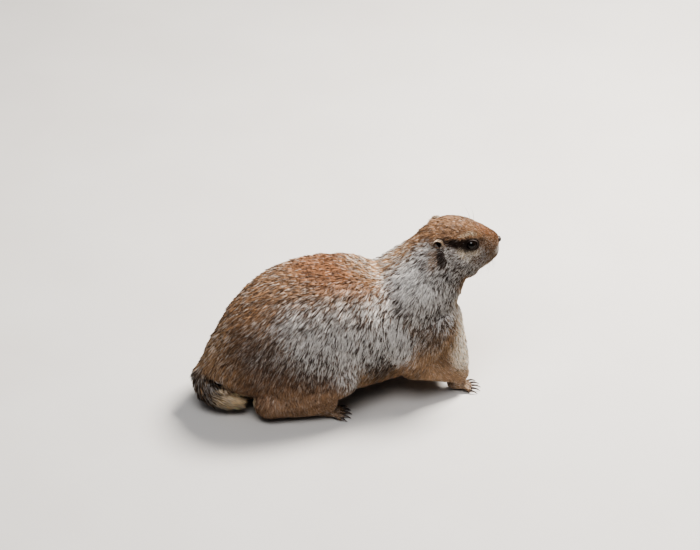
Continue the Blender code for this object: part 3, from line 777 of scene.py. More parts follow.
@dataclass(frozen=True)
class Paw:
    """One kind of paw: its sole, and the toes and claws that fan out from its ball."""

    name: str
    heel: Point
    ball: Point
    radii: tuple[float, float]
    toe_length: float
    toe_radius: float
    width: float
    claw_length: float
    joint: tuple[tuple[float, float, float, float], ...]  # the leg above: x, y, z and radius
    toes: int = 5
    fan: float = 20  # degrees that the outer toes turn away
    outer_shorter: float = 0.22
    spread: float = 0.72
    leg_steps: int = 9
    toe_steps: int = 13
    toe_shape: tuple[tuple[float, float, float], ...] = (  # how far along, height in mm, thickness
        (-0.4, 4.2, 1.25), (0.1, 4.7, 1.05), (0.45, 4.6, 1.08), (0.75, 3.0, 0.86), (1, 2.3, 1.02))

    def toe_lines(self) -> list[tuple[Array, Array, float]]:
        """Each toe's root, the way that it points and its length, for the left side, in mm."""
        heel, ball = np.array(self.heel[:2]), np.array(self.ball[:2])
        heading = math.atan2(*(ball - heel)[::-1])
        across = np.array((-math.sin(heading), math.cos(heading)))
        lines = []
        for fan in np.linspace(-1, 1, self.toes):
            turn = heading + math.radians(self.fan) * fan
            root = ball + across * fan * self.width / 2 * self.spread
            length = self.toe_length * (1 - self.outer_shorter * fan * fan)
            lines.append((root, np.array((math.cos(turn), math.sin(turn))), length))
        return lines

    def flesh(self, frame: Matrix) -> Thing:
        """The sole, the toes with their knuckles and the leg's joint, still overlapping.

        Args:
            frame: moves a mesh of the left side to its place and side.

        Returns:
            One mesh of overlapping closed lengths.
        """
        sole = [(*self.heel, self.radii[0]), (*self.ball, self.radii[1])]
        lengths = [curve_through(sole, self.leg_steps), curve_through(self.joint, self.leg_steps)]
        for root, ahead, length in self.toe_lines():
            rows = [
                (*(root + ahead * length * along), height, self.toe_radius * share)
                for along, height, share in self.toe_shape
            ]
            lengths.append(curve_through(rows, self.toe_steps))
        routes = [rows[:, :3] * 0.001 for rows in lengths]
        radii = [rows[:, 3] * 0.001 for rows in lengths]
        ends = [(route[k], radius[k]) for route, radius in zip(routes, radii) for k in (0, -1)]
        balls = [self.rounded(place, radius) for place, radius in ends]
        return moved(joined(self.name, [swept(self.name, routes, radii, 4), *balls]), frame)

    def rounded(self, place: Array, radius: float) -> Thing:
        """A ball that rounds off one end of a length."""
        bpy.ops.mesh.primitive_ico_sphere_add(subdivisions=3, radius=radius, location=place)
        ball = bpy.context.object
        select_only(ball)
        bpy.ops.object.transform_apply(location=True, rotation=True, scale=True)
        return ball


HIND_PAW = Paw(
    "claws_hind", (-67, 33, 7.5), (-23, 43, 5.4), (8.0, 6.0), 12.0, 1.95, 17.0, 6.0,
    ((-60, 37, 14, 11), (-38, 41, 12, 10), (-27, 43, 8.5, 7.6)),
)
FORE_PAW = Paw(
    "claws_fore", (91, 27, 6.8), (97, 28, 5.4), (6.2, 5.8), 9.5, 1.75, 14.5, 7.5,
    ((92, 27, 22, 10.5), (94, 27, 14, 9), (95, 27.4, 8, 7.2)),
)


@dataclass
class Skin:
    """The one skin under the coat, fused from every fleshy piece so that no seam shows."""

    places: Places
    groom: Groom
    markings: MarkingsAndShade
    seal: float = mm(0.4)  # how far each piece grows, to close the gaps between them
    step: float = mm(0.8)
    relaxing: int = 5
    body_relaxing: int = 22  # more of it away from face and paws
    fold_relaxing: int = 130  # and more again along the folds
    fold_reach: float = mm(20)
    fold_core: float = 0.4  # share of that reach which is smoothed in full
    fold_steps: int = 9  # places read along a fold
    fold_levels: int = 8  # weights that fade it out
    ear_reach: float = mm(9)
    ear_pit: tuple[float, float, float] = (mm(3.3), mm(3.5), mm(4.7))  # half its size, and depth
    face: Point = (-4, 0, -10)  # the middle of what is smoothed least
    fine_reach: float = mm(46)  # round that place
    paw_height: float = mm(11)
    triangles: int = 130000
    inset: float = 0.9  # share of the coat's depth that the skin lies inside the solids
    shown: float = 0.36  # brightness of the skin under the hair, beside the hair's own
    sole: float = mm(0.35)  # height of the soles above the floor
    tail_end: Point = (-92, -23, 11)
    tail_tuck: Point = (-4.5, 0.8, 1.6)
    tail_reach: tuple[float, float] = (mm(5), mm(16))  # where the tuck is full, and where it ends
    eye_opening: tuple[float, float] = (mm(5.9), mm(4.5))  # half its length and height
    eye_sunk: float = mm(4.4)  # from the eye's middle, where the skin passes behind the lids
    eye_edge: tuple[float, float] = (0.86, 1.12)  # shares of the opening over which its edge eases
    eye_reach: float = mm(12)
    ear_edge: tuple[float, float] = (0.9, 1.2)
    ear_height: float = mm(9)  # how far off the pit the skin is still drawn in

    def sealed_copy(self, node: Thing) -> Thing:
        """A copy of a piece with its loose triangles merged, grown a little outwards."""
        bm = bmesh.new()
        bm.from_mesh(node.data)
        bmesh.ops.remove_doubles(bm, verts=bm.verts, dist=mm(0.005))
        bm.normal_update()
        for vert in bm.verts:
            vert.co += vert.normal * self.seal
        mesh = bpy.data.meshes.new(node.name + "_copy")
        bm.to_mesh(mesh)
        bm.free()
        return linked(mesh.name, mesh)

    def build(self, nodes: dict[str, Thing]) -> Thing:
        """Makes the skin.

        Args:
            nodes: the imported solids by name.

        Returns:
            The skin, in triangles, inside the solids by the coat's depth.
        """
        masses = [self.sealed_copy(nodes[name]) for name in (*FLESH, *EARS)]
        for side in SIDES:
            frame = self.places.body_frame(side)
            masses += [paw.flesh(frame) for paw in (HIND_PAW, FORE_PAW)]
        skin = joined("skin", masses)
        modified(skin, "REMESH", mode="VOXEL", voxel_size=self.step)
        modified(skin, "SMOOTH", factor=0.5, iterations=self.relaxing)
        self.group_body(skin)
        modified(skin, "SMOOTH", factor=0.5, iterations=self.body_relaxing, vertex_group="body")
        modified(skin, "SMOOTH", factor=0.5, iterations=self.fold_relaxing, vertex_group="folds")
        corners, normals = vertex_array(skin.data), vertex_array(skin.data, "normal")
        hair = self.groom.at(corners, normals)
        depth = self.inset * self.groom.depth(hair) + self.seal
        corners = corners - normals * depth[:, None]
        corners[:, 2] = np.maximum(corners[:, 2], self.sole)
        put_vertices(skin.data, corners)
        modified(skin, "SMOOTH", factor=0.5, iterations=2)
        put_vertices(skin.data, self.tucked(self.opened(vertex_array(skin.data))))
        share = self.triangles / (2 * len(skin.data.polygons))
        modified(skin, "DECIMATE", ratio=share, use_collapse_triangulate=True)
        modified(skin, "TRIANGULATE")
        skin.data.materials.clear()
        return smoothed(skin)

    def group_body(self, skin: Thing) -> None:
        """Groups the vertices away from the face and the paws, which are smoothed further."""
        corners = vertex_array(skin.data)
        gap = np.linalg.norm(corners - self.places.head(self.face), axis=1)
        chosen = np.flatnonzero((gap > self.fine_reach) & (corners[:, 2] > self.paw_height))
        skin.vertex_groups.new(name="body").add(chosen.tolist(), 1, "REPLACE")
        rows = [place for knots in FOLDS for place in curve_through(knots, self.fold_steps)]
        near = nearest(corners, [self.places.body(place, side) for side in SIDES for place in rows])
        ears = [self.places.head(self.places.ear_place, side) for side in SIDES]
        near = np.minimum(near, nearest(corners, ears) * (self.fold_reach / self.ear_reach))
        weight = 1 - smooth_step(self.fold_reach * self.fold_core, self.fold_reach, near)
        folds = skin.vertex_groups.new(name="folds")
        for level in np.arange(1, self.fold_levels + 1) / self.fold_levels:
            chosen = np.flatnonzero(np.abs(weight - level) <= 0.5 / self.fold_levels)
            folds.add(chosen.tolist(), float(level), "REPLACE")

    def opened(self, corners: Array) -> Array:
        """Sinks the skin behind the lids and in the ears, so that eyes and cups are open."""
        for side in SIDES:
            frame = self.places.eye_frame(side)
            local = into_frame(frame, corners)
            length, height = self.eye_opening
            spread = np.hypot(local[:, 0] / length, local[:, 2] / height)
            inside = (1 - smooth_step(*self.eye_edge, spread)) * (local[:, 1] > 0)
            reach = np.maximum(np.linalg.norm(local, axis=1), mm(0.1))
            scale = 1 - inside * (1 - np.minimum(self.eye_sunk / reach, 1))
            local = np.where((reach < self.eye_reach)[:, None], local * scale[:, None], local)
            corners = out_of_frame(frame, local)
            frame = self.places.ear_frame(side)
            local = into_frame(frame, corners)
            length, height, depth = self.ear_pit
            spread = np.hypot(local[:, 0] / length, local[:, 2] / height)
            inside = (1 - smooth_step(*self.ear_edge, spread)) * (np.abs(local[:, 1]) < self.ear_height)
            local[:, 1] = np.minimum(local[:, 1], local[:, 1] * (1 - inside) - depth * inside)
            corners = out_of_frame(frame, local)
        return corners

    def tucked(self, corners: Array) -> Array:
        """Draws the tail's end in, by as far as its hair stands out past it."""
        gap = np.linalg.norm(corners - self.places.body(self.tail_end), axis=1)
        inside = 1 - smooth_step(*self.tail_reach, gap)
        return corners + inside[:, None] * mm(*self.tail_tuck)

    def paint(self, skin: Thing) -> None:
        """Gives the skin the coat's own markings and painted shade, darker, as between the hairs."""
        corners = vertex_array(skin.data)
        hue = self.markings.at(corners)
        put_colours(skin.data, hue.colour * self.shown)


class Region(NamedTuple):
    """One piece of the coat: the solids that it covers, and the slot of their finish."""

    name: str
    nodes: tuple[str, ...]
    slot: str


def region_table() -> list[Region]:
    """Every piece of the coat; the trunk's are parted at its middle, across and along."""
    table = [
        Region("coat_head", ("head", "nose", *EYES), "head_coat"),
        Region("coat_neck", ("neck",), "back_coat"),
        Region("coat_tail_root", ("tail_root",), "limb_coat"),
        Region("coat_tail_middle", ("tail_middle",), "dark_tail_coat"),
        Region("coat_tail_tip", ("tail_tip",), "pale_tail_coat"),
    ]
    for side in SIDES:
        table += [
            Region(side_name("coat_shoulder", side), ("torso",), "back_coat"),
            Region(side_name("coat_rump", side), ("torso",), "back_coat"),
            Region(side_name("coat_thigh", side), (side_name("thigh", side),), "back_coat"),
            Region(side_name("coat_shank", side), (
                side_name("shank", side), side_name("hind_foot", side)), "limb_coat"),
            Region(side_name("coat_upper_arm", side), (side_name("upper_arm", side),), "back_coat"),
            Region(side_name("coat_forearm", side), (
                side_name("forearm", side), side_name("forepaw", side)), "limb_coat"),
        ]
    return table


class Regions:
    """Which coat piece each of the skin's triangles belongs to."""

    TRUNK_MIDDLE = mm(-14)  # along X, where its fore and hind pieces meet

    def __init__(self, nodes: dict[str, Thing]) -> None:
        """Remembers which solid owns each place.

        Args:
            nodes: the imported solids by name.
        """
        self.table = region_table()
        self.numbers = {region.name: k for k, region in enumerate(self.table)}
        owners = {node: region.name for region in self.table for node in region.nodes}
        count = sum(len(nodes[name].data.vertices) for name in owners)
        self.tree, self.owner = KDTree(count), []
        for name, owner in owners.items():
            for vert in nodes[name].data.vertices:
                self.tree.insert(vert.co, len(self.owner))
                self.owner.append(owner)
        self.tree.balance()

    def of(self, points: Array) -> Array:
        """The number of the region that each place belongs to."""
        found = np.zeros(len(points), int)
        for k, point in enumerate(points):
            owner = self.owner[self.tree.find(point)[1]]
            if owner.startswith(("coat_rump", "coat_shoulder")):
                end = "coat_rump" if point[0] < self.TRUNK_MIDDLE else "coat_shoulder"
                owner = side_name(end, RIGHT if point[1] < 0 else LEFT)
            found[k] = self.numbers[owner]
        return found


@dataclass
class Clumps:
    """How the tufts draw together in locks, and what those share."""

    leader: Array  # where each tuft's lock grows
    bright: Array  # how bright the lock is beside its neighbours
    draw: Array  # a random number that the lock shares, from 0 to 1
    stand: Array  # how much further the lock stands out


@dataclass(frozen=True)
class Disorder:
    """How far locks, and the tufts in them, stray from what the comb and the markings say."""

    sway_cell: float = mm(6)
    lock_sway: float = math.radians(14)
    tuft_sway: float = math.radians(6)
    wave_cell: float = mm(3.6)
    wave_length: float = 0.12  # shares of the comb's own length, lift and width
    tuft_length: float = 0.13
    lengths: tuple[float, float] = (0.5, 1.4)
    lock_lift: float = 0.22
    wave_lift: float = 0.2
    tuft_lift: float = 0.16
    lifts: tuple[float, float] = (0.3, 1.8)
    widths: tuple[float, float] = (0.75, 1.25)
    lock_bright: float = 0.14
    streak_cell: float = mm(2.6)
    streak: float = 0.12
    bright: tuple[float, float] = (0.74, 1.14)
    tip_bright: tuple[float, float] = (1.0, 1.3)
    stray: float = 0.28  # of a tuft's length, that its marking is read away from its root


@dataclass(frozen=True)
class Banding:
    """How a tuft's colour changes from its root to its tip."""

    root_underfur: float = 0.6  # shares of the shades that are mixed
    root_body: float = 0.16
    full_frost: float = 0.5  # the share of white tips from which they are fully white
    least_white: float = 0.35
    white_tip: float = 0.9
    white_body: tuple[float, float] = (0.44, 0.46)  # of its own colour lost, and of white gained
    pale: tuple[float, float] = (0.75, 1.05)
    dark_tip: tuple[float, float] = (0.3, 0.6)  # of its own colour, and of umber
    dark_body: float = 0.55
    lights: tuple[float, float] = (0.004, 0.92)


@dataclass
class Coat:
    """The coat: thousands of small bent solid tufts on the skin."""

    places: Places
    groom: Groom
    markings: MarkingsAndShade
    lips: Array  # where the hair parts along the mouth
    cover: float = 6.75  # how many tufts lie over each place
    most: float = 6.6  # tufts to a square millimetre, at the densest
    width_base: float = mm(0.15)
    width_share: float = 0.031  # of the length
    sink: float = mm(0.35)
    patch: float = 0.003  # across a tuft's place on the bake map
    eye_clear: float = mm(6.3)
    eye_fade: float = mm(12)
    eye_shorter: float = 0.55  # how much shorter the hair is at the rims
    eye_parting: float = 1.6  # how strongly it turns away from the eye
    floor: float = mm(0.3)
    soften: float = 0.5  # how far the shading follows the body and not each tuft
    lock_base: float = mm(0.35)
    lock_share: float = 0.13  # of the length, that a lock is across
    pull: float = 0.55  # how far the tips draw together in a lock
    bend_pull: float = 0.35  # share of that pull at the bend
    face_turn: tuple[float, float] = (0.7, 0.3)  # how far its flanks and its tip are shaded apart
    lock_tips: float = 0.55  # share of the tufts whose tips are as their lock's
    lips_clear: float = mm(0.7)
    lips_fade: float = mm(3.2)
    lips_reach: float = mm(30)
    lips_shorter: float = 0.6
    almond: tuple[float, float] = (mm(5.8), mm(4.5))  # half of what is bare round an eye
    ear_clear: float = mm(3.6)
    nose_clear: float = mm(3.1)
    nose_shape: Point = (1, 1.15, 0.95)
    sole_height: float = mm(1.6)
    disorder: Disorder = Disorder()
    banding: Banding = Banding()

    def density(self, length: Array) -> Array:
        """Tufts to a square metre for hair of a length."""
        width = self.width_base + self.width_share * length
        return np.minimum(self.cover / (length * width), self.most / mm(1) ** 2)

    def scatter(self, skin: Surface, comb: Comb, rng: np.random.Generator) -> tuple[Array, Array]:
        """Spreads roots evenly over the skin, more of them where the hair is shorter.

        Args:
            skin: the triangles to grow on.
            comb: how the hair lies at places on it.
            rng: the source of random draws.

        Returns:
            Each root's triangle, and its place in it as three shares.
        """
        centres = skin.centres()
        flat = unit(skin.normals[skin.triangles].mean(axis=1))
        wanted = self.density(comb(centres, flat).length) * skin.areas()
        total = np.cumsum(wanted)
        count = int(total[-1])
        draws = (np.arange(count) + rng.random(count)) / count * total[-1]
        chosen = np.minimum(np.searchsorted(total, draws), len(total) - 1)
        a, b = rng.random(count), rng.random(count)
        flip = a + b > 1
        a[flip], b[flip] = 1 - a[flip], 1 - b[flip]
        return chosen, np.stack([1 - a - b, a, b], axis=1)

    def bare(self, roots: Array, normals: Array) -> Array:
        """Which roots would grow where there is no hair: eyes, nose, lips, ears and soles."""
        none = (roots[:, 2] < self.sole_height) & (normals[:, 2] < -0.5)
        for side in SIDES:
            local = into_frame(self.places.eye_frame(side), roots)
            spread = np.hypot(local[:, 0] / self.almond[0], local[:, 2] / self.almond[1])
            none |= (spread < 1) & (local[:, 1] > 0) & (local[:, 1] < self.eye_fade)
            ear = self.places.head(self.places.ear_place, side)
            none |= np.linalg.norm(roots - ear, axis=1) < self.ear_clear
        nose = self.places.head(self.places.nose_place)
        none |= np.linalg.norm((roots - nose) / np.array(self.nose_shape), axis=1) < self.nose_clear
        return none | (nearest(roots, self.lips) < self.lips_clear)

    def round_eyes(self, roots: Array, normals: Array, hair: Hair) -> None:
        """Parts the hair round the eyes and shortens it at their rims."""
        for side in SIDES:
            gap = roots - self.places.head(self.places.eye_place, side)
            reach = np.linalg.norm(gap, axis=1)
            near = 1 - smooth_step(self.eye_clear, self.eye_fade, reach)
            hair.length *= 1 - self.eye_shorter * near
            away = unit(along_surface(gap, normals))
            parted = unit(hair.lie + self.eye_parting * near[:, None] * away)
            hair.lie[:] = np.where(near[:, None] > 0, parted, hair.lie)

    def round_lips(self, roots: Array, hair: Hair) -> None:
        """Shortens the hair towards the line of the lips."""
        close = np.linalg.norm(roots - self.lips.mean(axis=0), axis=1) < self.lips_reach
        near = 1 - smooth_step(self.lips_clear, self.lips_fade, nearest(roots[close], self.lips))
        hair.length[close] *= 1 - self.lips_shorter * near

    def grow(self, name: str, skin: Surface, seed: int, comb: Comb | None = None) -> Thing:
        """Grows one piece of the coat.

        Args:
            name: the piece's name.
            skin: the triangles that it covers.
            seed: which random draws.
            comb: how the hair lies there, where the body's comb doesn't say it.

        Returns:
            The joined tufts as one mesh.
        """
        rng = np.random.default_rng(seed)
        read = comb or self.groom.at
        chosen, shares = self.scatter(skin, read, rng)
        corners = skin.triangles[chosen]
        roots = (skin.corners[corners] * shares[:, :, None]).sum(axis=1)
        normals = unit((skin.normals[corners] * shares[:, :, None]).sum(axis=1))
        keep = np.ones(len(roots), bool) if comb else ~self.bare(roots, normals)
        chosen, shares, roots, normals = chosen[keep], shares[keep], roots[keep], normals[keep]
        hair = read(roots, normals)
        if not comb:
            self.round_eyes(roots, normals, hair)
            self.round_lips(roots, hair)
        flat = (skin.unwrapped()[chosen] * shares[:, :, None]).sum(axis=1)
        clumps = self.clumped(roots, hair, rng)
        places, shading = self.bent(roots, normals, hair, clumps, rng)
        return self.mesh_of(name, places, shading, self.tones(roots, hair, clumps, rng), flat)

    def clumped(self, roots: Array, hair: Hair, rng: np.random.Generator) -> Clumps:
        """Chooses some roots as the middles of locks, and gives every tuft to the nearest.

        Args:
            roots: where the tufts grow.
            hair: how the comb set it there.
            rng: the source of random draws.

        Returns:
            What each tuft has from its lock.
        """
        across = self.lock_base + self.lock_share * hair.length
        chance = np.clip(1 / (self.density(hair.length) * across**2), 0, 1)
        leaders = np.flatnonzero(rng.random(len(roots)) < chance)
        tree = KDTree(len(leaders))
        for k, root in enumerate(roots[leaders]):
            tree.insert(root, k)
        tree.balance()
        own = np.array([tree.find(root)[1] for root in roots])
        bright = np.exp(self.disorder.lock_bright * rng.normal(size=len(leaders)))
        draw = rng.random(len(leaders))
        stand = 1 + self.disorder.lock_lift * rng.normal(size=len(leaders))
        return Clumps(roots[leaders][own], bright[own], draw[own], stand[own])

    def bent(
        self, roots: Array, normals: Array, hair: Hair, clumps: Clumps, rng: np.random.Generator
    ) -> tuple[Array, Array]:
        """Bends each tuft from its root along the lie, and draws it in to its lock.

        Args:
            roots: where the tufts grow.
            normals: the skin's direction at each root.
            hair: how the comb set it there.
            clumps: the locks that they belong to.
            rng: the source of random draws.

        Returns:
            Four points for each tuft, and the direction that shades each point.
        """
        count, stray = len(roots), self.disorder
        across = np.cross(normals, hair.lie)
        sway = stray.lock_sway * soft_noise(clumps.leader, stray.sway_cell, 11)
        sway += stray.tuft_sway * rng.normal(size=count)
        lie = hair.lie * np.cos(sway)[:, None] + across * np.sin(sway)[:, None]
        side = np.cross(normals, lie)
        wave = soft_noise(clumps.leader, stray.wave_cell, 13)
        longer = 1 + stray.wave_length * wave + stray.tuft_length * rng.normal(size=count)
        length = hair.length * longer.clip(*stray.lengths)
        higher = clumps.stand + stray.wave_lift * wave + stray.tuft_lift * rng.normal(size=count)
        lift = hair.lift * higher.clip(*stray.lifts)
        width = (self.width_base + self.width_share * hair.length) * rng.uniform(*stray.widths, count)
        low, high = self.groom.bend_share * length, (1 - self.groom.bend_share) * length
        tip_lift = lift * self.groom.tip_lift
        rise = lie * np.cos(lift)[:, None] + normals * np.sin(lift)[:, None]
        fall = lie * np.cos(tip_lift)[:, None] + normals * np.sin(tip_lift)[:, None]
        inwards = along_surface(clumps.leader - roots, normals)
        base = roots - normals * self.sink
        bend = roots + rise * low[:, None] + inwards * self.pull * self.bend_pull
        tip = roots + rise * low[:, None] + fall * high[:, None] + inwards * self.pull
        half = (width / 2)[:, None]
        points = np.stack([base, bend + side * half, bend - side * half, tip], axis=1)
        points[:, :, 2] = np.maximum(points[:, :, 2], self.floor)
        up = np.cross(rise, side)
        up = up * np.sign((up * normals).sum(1, keepdims=True))
        turn, fore = self.face_turn
        others = (unit(up + side * turn), unit(up - side * turn), unit(up + lie * fore))
        shading = np.stack([normals, *others], axis=1)
        return points, unit(shading * (1 - self.soften) + normals[:, None, :] * self.soften)

    def tones(self, roots: Array, hair: Hair, clumps: Clumps, rng: np.random.Generator) -> Array:
        """The colours of each tuft's four points: dark root, main colour, and its tip."""
        count, stray, bands = len(roots), self.disorder, self.banding
        jitter = (stray.stray * hair.length)[:, None] * rng.normal(size=(count, 3))
        hue = self.markings.at(roots + jitter)
        streak = (1 + stray.streak * soft_noise(roots, stray.streak_cell, 21)) * clumps.bright
        body = hue.colour * (streak * rng.uniform(*stray.bright, count))[:, None]
        draw = np.where(rng.random(count) < self.lock_tips, clumps.draw, rng.random(count))
        frosted = draw < hue.frost
        darkened = draw > 1 - hue.dark
        tip = body * rng.uniform(*stray.tip_bright, count)[:, None]
        pale = (Shade.WHITE.light() * clumps.bright.clip(*bands.pale)[:, None])[frosted]
        white = np.clip(hue.frost / bands.full_frost, bands.least_white, 1)[frosted, None]
        own, gained = bands.white_body
        tip[frosted] = body[frosted] * (1 - bands.white_tip * white) + pale * bands.white_tip * white
        body[frosted] = body[frosted] * (1 - own * white) + pale * gained * white
        own, gained = bands.dark_tip
        tip[darkened] = body[darkened] * own + Shade.UMBER.light() * gained
        body[darkened] *= bands.dark_body
        root = Shade.UNDERFUR.light() * bands.root_underfur + body * bands.root_body
        return np.stack([root, body, body, tip], axis=1).clip(*bands.lights)

    def mesh_of(
        self, name: str, points: Array, shading: Array, tones: Array, flat: Array
    ) -> Thing:
        """Joins the tufts into one mesh with its colours and bake map.

        Args:
            name: the piece's name.
            points: four places for each tuft.
            shading: the direction that shades each place.
            tones: the colour of each place.
            flat: each root's place on the bake map.

        Returns:
            The new object.
        """
        count = len(points)
        faces = np.array([(0, 2, 1), (3, 1, 2), (0, 1, 3), (0, 3, 2)])
        corners = (faces[None] + 4 * np.arange(count)[:, None, None]).reshape(-1).astype(np.int32)
        mesh = bpy.data.meshes.new(name)
        mesh.vertices.add(4 * count)
        mesh.vertices.foreach_set("co", points.astype(np.float32).ravel())
        mesh.loops.add(len(corners))
        mesh.loops.foreach_set("vertex_index", corners)
        mesh.polygons.add(4 * count)
        mesh.polygons.foreach_set("loop_start", np.arange(0, len(corners), 3, dtype=np.int32))
        mesh.update(calc_edges=True)
        mesh.shade_smooth()
        spread = np.array([(0, -0.5), (-0.4, 0), (0.4, 0), (0, 0.5)]) * self.patch
        spots = (flat[:, None, :] + spread[None]).clip(0.0005, 0.9995)
        bake = mesh.uv_layers.new(name=BAKE_MAP)
        bake.data.foreach_set("uv", spots.reshape(-1, 2)[corners].astype(np.float32).ravel())
        put_colours(mesh, tones.reshape(-1, 3))
        mesh.normals_split_custom_set_from_vertices(shading.reshape(-1, 3).astype(np.float32))
        return linked(name, mesh)


@dataclass
class Eyes:
    """An eye and the rim of its lids, modelled in the eye's own frame for the left side."""

    places: Places
    radius: float = mm(6.0)
    cornea: float = 44  # degrees from the gaze to the edge of the cornea
    bulge: float = mm(0.45)
    iris: float = 36
    pupil: float = 21
    opening: tuple[float, float] = (mm(5.7), mm(3.95))  # half its length and height
    rim: float = mm(0.36)  # half the thickness of a lid's edge
    upper: float = 1.25  # how much thicker the upper lid is
    proud: float = mm(0.2)  # of the lids' edge over the eye
    corner: float = 0.82  # how pointed the corners are; 1 is round
    tube: float = 0.25  # thickness of the ring that the lids are drawn from
    flare: float = 1.3  # how much broader than thick their edge is
    crease: float = 0.12  # depth of their creases, as a share of the thickness
    rays: float = 0.3  # how much the iris varies round the pupil
    dimming: tuple[float, float, float] = (0.8, 0.4, 0.25)  # of white, iris and pupil

    def ball(self, side: int) -> Thing:
        """Makes one eye, clear and domed in front, with its iris and pupil.

        Args:
            side: which side of the head.

        Returns:
            The eye in its place.
        """
        eye = outward_ball(side_name("eyeball", side), 56, 40, self.radius)
        corners = vertex_array(eye.data)
        angle = np.degrees(np.arccos(np.clip(corners[:, 1] / self.radius, -1, 1)))
        dome = np.clip(1 - (angle / self.cornea) ** 2, 0, 1) ** 1.5
        put_vertices(eye.data, corners * (1 + dome * self.bulge / self.radius)[:, None])
        around = np.arctan2(corners[:, 2], corners[:, 0])
        rays = 1 + self.rays * np.sin(around * 23) * np.sin(around * 7 + 1)
        iris = 1 - smooth_step(self.iris - 3, self.iris + 2, angle)
        pupil = 1 - smooth_step(self.pupil - 2, self.pupil + 2, angle)
        white, ring, centre = self.dimming
        colours = np.tile(Shade.BLACKISH.light() * white, (len(corners), 1))
        colours += iris[:, None] * (Shade.UMBER.light() * ring * rays[:, None] - colours)
        colours += pupil[:, None] * (Shade.BLACKISH.light() * centre - colours)
        put_colours(eye.data, colours.clip(0, 1))
        return moved(smoothed(eye), self.places.eye_frame(side))

    def lids(self, side: int) -> Thing:
        """Makes the dark edge of both lids: a ring drawn out to an almond and laid on the eye.

        Args:
            side: which side of the head.

        Returns:
            The rim in its place.
        """
        bpy.ops.mesh.primitive_torus_add(
            major_segments=96, minor_segments=16, major_radius=1, minor_radius=self.tube)
        rim = named(bpy.context.object, side_name("eyelids", side))
        ring = vertex_array(rim.data)
        turn = np.arctan2(ring[:, 1], ring[:, 0])
        away = (np.hypot(ring[:, 0], ring[:, 1]) - 1) / self.tube
        rise = ring[:, 2] / self.tube
        length, height = self.opening
        bend = np.sign(np.sin(turn)) * np.abs(np.sin(turn)) ** (1 / self.corner)
        x, z = length * np.cos(turn), height * bend
        outwards = unit(np.stack([x / length**2, z / height**2], axis=1))
        fold = 1 + self.crease * np.sin(turn * 9) * np.cos(turn * 4)
        thick = self.rim * np.where(np.sin(turn) > 0, self.upper, 1) * fold
        x = x + outwards[:, 0] * away * thick * self.flare
        z = z + outwards[:, 1] * away * thick * self.flare
        reach = self.radius + self.proud + rise * thick
        y = np.sqrt(np.maximum(reach**2 - x**2 - z**2, mm(1) ** 2))
        put_vertices(rim.data, np.stack([x, y, z], axis=1))
        edited(rim, bpy.ops.mesh.normals_make_consistent, inside=False)
        return moved(smoothed(rim), self.places.eye_frame(side))


@dataclass
class Ears:
    """A low round ear: a cup with a rolled rim, half sunk in the fur."""

    places: Places
    radii: tuple[float, float, float] = (mm(3.9), mm(4.2), mm(4.2))
    cut: float = 0.4  # how far out the cup is cut off, as a share of its depth
    wall: float = mm(0.65)
    rear_rise: float = mm(1.2)  # of the rim behind and above
    front_drop: float = mm(0.8)  # of the rim in front and below
    ridge: float = mm(0.5)  # height of the fold inside the cup
    ridge_place: tuple[float, float] = (0.6, 0.13)  # its distance from the middle and its breadth
    roll: float = mm(0.5)  # how far the rim behind leans back
    hair_length: float = mm(1.3)
    hair_lift: float = math.radians(24)
    hair_way: Point = (-0.5, 0.9, 0.35)

    def cup(self, side: int) -> Thing:
        """Makes one ear.

        Args:
            side: which side of the head.

        Returns:
            The ear in its place, a closed wall.
        """
        ear = outward_ball(side_name("ear_cup", side), 44, 26)
        edited(ear, bpy.ops.mesh.bisect, plane_co=(0, self.cut, 0), plane_no=(0, 1, 0), clear_outer=True)
        corners = vertex_array(ear.data)
        edge = smooth_step(-0.5, self.cut, corners[:, 1])
        behind = np.clip(0.25 - 0.85 * corners[:, 0] + 0.45 * corners[:, 2], 0, 1.2)
        before = np.clip(0.7 * corners[:, 0] - 0.7 * corners[:, 2] - 0.1, 0, 1)
        across = np.hypot(corners[:, 0], corners[:, 2])
        middle, breadth = self.ridge_place
        fold = np.exp(-(((across - middle) / breadth) ** 2)) * smooth_step(-0.4, 0.6, corners[:, 0])
        corners = corners * np.array(self.radii)
        corners[:, 1] += edge * (self.rear_rise * behind - self.front_drop * before)
        corners[:, 1] += (1 - edge) * self.ridge * fold
        corners[:, 0] -= edge * self.roll * behind
        put_vertices(ear.data, corners)
        modified(ear, "SOLIDIFY", thickness=self.wall, offset=-1)
        modified(ear, "SUBSURF", levels=1, render_levels=1)
        modified(ear, "TRIANGULATE")
        self.paint(ear)
        return moved(smoothed(ear), self.places.ear_frame(side))

    def paint(self, ear: Thing) -> None:
        """Colours the ear: dark inside as painted shade in the cup's hollow, pinker and paler at the rim."""
        corners = vertex_array(ear.data)
        rim = smooth_step(-mm(0.6), mm(1.6), corners[:, 1])[:, None]
        # painted shade: the inside of the cup made dark as its hollow lies in shade
        depth = Shade.UMBER.light() * 0.6
        put_colours(ear.data, depth * (1 - rim) + Shade.TAWNY.light() * rim)

    def outside(self, cup: Surface, side: int) -> Surface:
        """The ear's outer face and rim, which are haired."""
        away = cup.centres() - np.array(self.places.ear_frame(side).translation)
        facing = cup.normals[cup.triangles].mean(axis=1)
        return cup.part((away * facing).sum(axis=1) > mm(0.2))

    def comb(self, side: int) -> Comb:
        """How the ear's own short hair lies: outwards over the rim, and back."""
        frame = self.places.ear_frame(side)
        way = np.array(self.hair_way) @ np.array(frame)[:3, :3].T

        def read(points: Array, normals: Array) -> Hair:
            """The hair at places on the ear."""
            lie = unit(way - normals * (normals @ way)[:, None])
            rim = smooth_step(-mm(1.5), mm(1.5), into_frame(frame, points)[:, 1])
            size = self.hair_length * (0.55 + 0.45 * rim)
            return Hair(lie, size, np.full(len(points), self.hair_lift))

        return read


